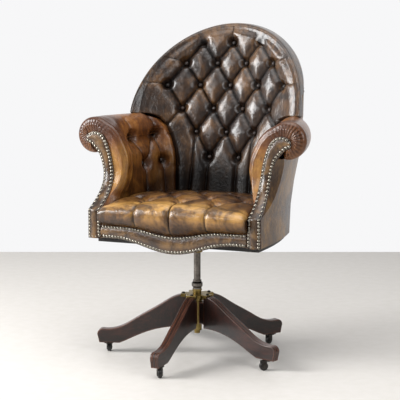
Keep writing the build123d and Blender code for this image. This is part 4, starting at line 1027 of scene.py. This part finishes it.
crown = 14 * (x / seat_side) ** 2
gap = (1 - np.repeat(share[None, :], len(x), axis=0)) * np.hypot(x[:, -1:], 0 * x[:, -1:] + 40)
near = soft_distance(x, map_y, seat_creases + side_pleats)
pleat = soft_distance(x, map_y, front_pleats)
hole = point_distance(x, map_y, seat_buttons)
seat_crease, seat_rise, seat_reach, seat_pleat, seat_pit = 5, 9, 34, 6.5, 11.6
height = -seat_crease + seat_rise * pillow(near, seat_reach) - seat_pleat * np.exp(-pleat / 4.5)
dip = np.exp(-(np.maximum(hole - 5, 0) / 11) ** 2)
height = height * (1 - dip) - seat_pit * dip
off_rail = np.where(map_y < -180, smooth(398, 425, z), 1)
height = height * off_rail
height -= (crown * np.clip(up_z, 0.3, 1) * off_rail
           + np.clip(up_z * 2, 0.12, 1) * 12 * np.exp(-gap / 7))
# painted shade in the creases, pleats and pits, and next to the arms
fold = np.maximum(np.exp(-near / 2.0) * 0.75, np.exp(-pleat / 2.2))
fold = np.clip(np.maximum(fold, dip ** 2 * 0.8), 0, 1)
fold = np.maximum(fold, np.exp(-gap / 5) * np.where(map_y < -150, 0.4, 1))
seat_half = np.stack([x, y + up_y * height, z + up_z * height], axis=-1)

side_edge = seat_half[:, -1]
in_front = side_edge[:, 1:2] < -150
skirt_foot = np.where(in_front, [[0, -158, 432]], side_edge * [[0, 1, 1]] + [[0, 0, -26]])
skirt_foot[:, 0] = side_edge[:, 0] - 3
skirt = np.stack([side_edge + (skirt_foot - side_edge) * share_on for share_on in (0.25, 0.5, 0.75, 1.0)],
                 axis=1)
skirt[:, :3, 0] += np.array([1.5, 1.8, 0.5]) * in_front
seat_half = np.concatenate([seat_half, skirt], axis=1)
print("seat:", seat_half.shape[:2], "points on each side")

# %% [markdown]
# Sitting wears the nose of the cushion to gold, and most of all beside its pleats, and that gold is
# partly a painted highlight. The creases get painted shade, as do the rear of the seat, the sides, the
# foot of the nose and the skirt that goes down beside the arms.

# %% Seat cushion
# the skirt down beside the arms is painted dark as shade, least at the front
on_side = fold[:, -1:] * 0 + smooth(-150, -165, side_edge[:, 1:2]) * np.array([[0.45, 0.3, 0.3, 0.3]])
on_side = np.where(in_front, on_side, 1)
# gold on the nose and beside the pleats, partly wear and partly a painted highlight
seat_wear_and_highlight = smooth(0, 4, height + crown) * 0.12 + 0.45 * smooth(-135, -175, map_y) * smooth(-240, -205, map_y)
wear_and_highlight_beside_creases = np.exp(-((near - 4) / 3) ** 2) + np.exp(-((pleat - 5) / 3) ** 2)
seat_wear_and_highlight += 0.3 * wear_and_highlight_beside_creases * smooth(-30, -150, map_y)
# painted shade at the rear, next to the arms and at the foot of the nose
seat_shade = (0.5 * smooth(-90, 120, map_y) + 0.5 * np.exp(-gap / 22) * (map_y > -150)
              + 0.55 * smooth(440, 404, z))
seat_looks = {"fold": np.concatenate([fold, on_side], axis=1),
              "worn": np.concatenate([seat_wear_and_highlight, 0 * on_side], axis=1),
              "shade": np.concatenate([np.clip(seat_shade, 0, 0.85), 0 * on_side + 0.5], axis=1)}
seat_piece = mesh_piece("seat_top", [seat_half[:, ::-1], mirrored(seat_half)],
                        {look: [values[:, ::-1]] * 2 for look, values in seat_looks.items()})
seat_piece.data.materials.append(seat_leather)
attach(seat_piece, "seat")
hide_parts("seat_cushion")
print("seat:", len(seat_piece.data.vertices), "points")

# %% [markdown]
# The facings and the front rail are strips of hide over wadding, tacked close along both edges, so
# they swell between two rows of nails. A bevelled curve swells evenly, but here the hide dips in a
# trench at each row and turns under at the edge. So the height across the strip is written out. The
# CAD's nails stay, each in the trench that it pulls. The trench is darkened as painted shade, and the
# crest is paler, partly wear and partly a painted highlight.

# %% Padded strips
nail_inset, nail_clear = 5.5, 6.5


def through(points, spacing):
    """Even points on the smooth curve through some flat points."""
    points = np.array(points, float)
    at = np.concatenate([[0], np.cumsum(np.linalg.norm(np.diff(points, axis=0), axis=1))])
    gaps = np.diff(at)
    system = np.eye(len(at))
    slope = np.zeros_like(points)
    for n in range(1, len(at) - 1):
        system[n, n - 1:n + 2] = gaps[n - 1], 2 * (gaps[n - 1] + gaps[n]), gaps[n]
        slope[n] = 6 * ((points[n + 1] - points[n]) / gaps[n] - (points[n] - points[n - 1]) / gaps[n - 1])
    bend = np.linalg.solve(system, slope)
    where = np.linspace(0, at[-1], max(2, round(at[-1] / spacing) * 4))
    n = np.clip(np.searchsorted(at, where) - 1, 0, len(gaps) - 1)
    left, right, gap_n = (at[n + 1] - where)[:, None], (where - at[n])[:, None], gaps[n][:, None]
    curve = (bend[n] * left ** 3 + bend[n + 1] * right ** 3) / (6 * gap_n)
    curve += ((points[n] / gap_n - bend[n] * gap_n / 6) * left
              + (points[n + 1] / gap_n - bend[n + 1] * gap_n / 6) * right)
    return resample(curve, spacing)


def evenly(line, count):
    """The line again in this many even steps."""
    return resample(line, np.linalg.norm(np.diff(line, axis=0), axis=1).sum() / count)


def strip_profile(from_edge, half_width, swell):
    """Height of a padded strip over its nails, and the painted shade of the trench that the nails pull."""
    inner = np.clip((half_width - from_edge) / np.maximum(half_width - nail_clear, 1), 0, 1)
    height = swell * (1 - inner ** 2) * (from_edge > nail_clear) - 0.3 - 1.6 * smooth(2.5, 0, from_edge)
    trench = 0.9 * np.exp(-((from_edge - nail_inset) / 3.0) ** 2)
    return height, trench


def padded_strip(low_edge, high_edge, surface_y, depth, swell, share_count):
    """Points, trenches and crest of a strip between two matched edges, closed behind its front."""
    across = np.linspace(-1, 1, share_count)
    width = np.linalg.norm(high_edge - low_edge, axis=1)
    from_edge = (1 - abs(across)[None, :]) * width[:, None] / 2
    height, trench = strip_profile(from_edge, width[:, None] / 2, swell)
    middle = (low_edge + high_edge) / 2
    half = (high_edge - low_edge) / 2
    flat = middle[:, None] + half[:, None] * across[None, :, None]
    front = surface_y(flat[..., 1])
    grid = np.stack([flat[..., 0], front - height, flat[..., 1]], axis=-1)
    behind = grid.copy()
    behind[..., 1] = front + depth
    grid = np.concatenate([behind[:, :1], grid, behind[:, -1:]], axis=1)
    # the trenches carry painted shade, and the crest is paler, partly wear and partly a painted highlight
    trench = np.pad(trench, ((0, 0), (1, 1)), constant_values=0.7)
    crest = np.pad(smooth(0.5, 1, height / max(swell, 0.1)) * 0.35, ((0, 0), (1, 1)))
    first, last = grid[:1].copy(), grid[-1:].copy()
    first[..., 1] = np.maximum(first[..., 1], surface_y(first[..., 2]) + depth)
    last[..., 1] = np.maximum(last[..., 1], surface_y(last[..., 2]) + depth)
    grid = np.concatenate([first, grid, last])
    trench = np.pad(trench, ((1, 1), (0, 0)), mode="edge")
    crest = np.pad(crest, ((1, 1), (0, 0)), mode="edge")
    return grid, trench, crest


# %% [markdown]
# Each facing goes up the front of the arm and ends in a scroll under the roll. Its two edges are
# smooth curves through points read from the CAD's outline, cut into the same number of steps, so that
# each step across the strip stays nearly square to it.

# %% Arm facings
outer_edge = np.concatenate([[outer_foot], through(facing_outer, step / 2), [facing_tip]])
inner_edge = np.concatenate([[facing_tip], through(facing_inner, step / 2), [inner_foot]])[::-1]
station_count = round(330 / step)
outer_edge, inner_edge = evenly(outer_edge, station_count), evenly(inner_edge, station_count)
station_count = min(len(outer_edge), len(inner_edge))
outer_edge, inner_edge = evenly(outer_edge, station_count - 1), evenly(inner_edge, station_count - 1)
grid, trench, crest_wear_and_highlight = padded_strip(outer_edge, inner_edge, lambda z: front_y(z) - 4, 4, 3.4, 25)
for side, name in ((1, "right"), (-1, "left")):
    strip = mesh_piece(f"facing_leather_{name}", [(grid * np.array([side, 1, 1]))[:, ::-side]],
                       {"fold": [trench[:, ::-side]], "worn": [crest_wear_and_highlight[:, ::-side]]})
    strip.data.materials.append(trim_leather)
    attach(strip, "seat")
    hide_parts(f"arm_facing_{name}")
    print(strip.name, len(strip.data.vertices), "points")

# %% [markdown]
# The front rail is a serpentine board: its edges dip towards the middle in two cosine waves. It is the
# same strip again, laid between those two edges at the front of the CAD's rail.

# %% Front rail
rail_x = np.linspace(-226, 226, round(452 / step))
rail_low = np.stack([rail_x, serpentine(rail_x, *rail_foot)], axis=1)
rail_high = np.stack([rail_x, serpentine(rail_x, *rail_top)], axis=1)
rail_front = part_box("front_rail")[0][1] * 1000
grid, trench, crest_wear_and_highlight = padded_strip(rail_low, rail_high, lambda z: 0 * z + rail_front, 24, 4.2, 29)
rail = mesh_piece("rail_leather", [grid], {"fold": [trench], "worn": [crest_wear_and_highlight]})
rail.data.materials.append(trim_leather)
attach(rail, "seat")
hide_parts("front_rail")
print("rail:", len(rail.data.vertices), "points")

# %% [markdown]
# The room is a pale floor that ends behind the chair. A backdrop could stand there, but it would throw
# light back on to the leather. So the camera sees a white surround through Light Path, polish sees the
# same surround only on the side of the wall, and all else gets a dim, even light.

# %% Floor and surround
camera_place = np.array([1.35615, -3.118, 0.90482])
camera_right = np.array([0.917995, 0.396593, 0])
camera_up = np.array([-0.050683, 0.117316, 0.9918])
camera_back = np.array([0.393341, -0.910468, 0.127796])
level_forward = np.array([-0.396593, 0.917995, 0])
floor_behind, floor_beside, floor_depth = 1.78, 9, 12
floor_mesh = bpy.data.meshes.new("floor")
rear_edge = level_forward * floor_behind
corners = [rear_edge + camera_right * side * floor_beside for side in (-1, 1)]
corners += [corner - level_forward * floor_depth for corner in corners[::-1]]
floor_mesh.from_pydata([tuple(c) for c in corners], [], [(0, 1, 2, 3)])
floor = bpy.data.objects.new("floor", floor_mesh)
bpy.context.scene.collection.objects.link(floor)
floor.data.materials.append(plain_surface("floor_paint", "#dfdbd6", "#dad6d0", 0.5))

dim = 0.24
world = bpy.data.worlds.new("surround")
world.use_nodes = True
bpy.context.scene.world = world
rays = add(world.node_tree, "LightPath").node.outputs
look_along = add(world.node_tree, "TexCoord", out="Generated")
towards_wall = add(world.node_tree, "VectorMath", {0: look_along, 1: tuple(level_forward)}, "Value",
                   operation="DOT_PRODUCT")
wall = add(world.node_tree, "MapRange", {"Value": towards_wall, "From Min": 0.3, "From Max": 0.85,
                                         "To Min": dim, "To Max": 1.0})
polish = add(world.node_tree, "Math", {0: rays["Is Glossy Ray"], 1: rays["Is Transmission Ray"]},
             operation="MAXIMUM")
in_polish = add(world.node_tree, "Math", {0: polish, 1: wall}, operation="MULTIPLY")
at_least = add(world.node_tree, "Math", {0: in_polish, 1: dim}, operation="MAXIMUM")
strength = add(world.node_tree, "Math", {0: rays["Is Camera Ray"], 1: at_least}, operation="MAXIMUM")
feed(world.node_tree.nodes["Background"], {"Color": linear("#f7f7f8"), "Strength": strength})
print("floor and surround ready")

# %% [markdown]
# The light is soft and comes mostly from the left, as from a large window, with a little from the other
# sides. A sun would give hard shadows. An area lamp's shadow is softer the larger it is, and so is the
# highlight it leaves on a tuft.


# %% Lights
def area_light(name, place, aim_at, size, power):
    """A rectangular lamp at a place in metres that faces another place."""
    light = bpy.data.lights.new(name, "AREA")
    light.shape = "RECTANGLE"
    light.size, light.size_y = size
    light.energy = power
    lamp = bpy.data.objects.new(name, light)
    bpy.context.scene.collection.objects.link(lamp)
    lamp.location = place
    towards = np.array(aim_at) - np.array(place)
    towards = towards / np.linalg.norm(towards)
    lamp.rotation_euler = Vector(towards).to_track_quat("-Z", "Y").to_euler()
    print(name, power, "W")


area_light("window_left", (-2.5, -1.75, 1.75), (0, 0, 0.65), (1.3, 2.0), 150)
area_light("window_front", (-0.9, -3.6, 2.3), (0, 0, 0.6), (1.6, 1.0), 22)
area_light("window_right", (2.6, -1.2, 1.6), (0, 0, 0.6), (0.9, 1.6), 26)
area_light("overhead", (0.2, -0.3, 3.0), (0, 0, 0.5), (2.4, 2.0), 45)

# %% [markdown]
# The camera could be placed by eye. Its place and direction were worked out instead, from points of
# the photograph that mirror each other on the two sides of the chair, and so was the lens.

# %% Camera
camera = bpy.data.cameras.new("camera")
camera.lens = 104.33
camera.sensor_width = 36
camera_object = bpy.data.objects.new("camera", camera)
bpy.context.scene.collection.objects.link(camera_object)
turned_to = Matrix([[camera_right[k], camera_up[k], camera_back[k]] for k in range(3)]).to_4x4()
camera_object.matrix_world = Matrix.Translation(camera_place) @ turned_to
bpy.context.scene.camera = camera_object
bpy.context.scene.view_settings.view_transform = "Standard"
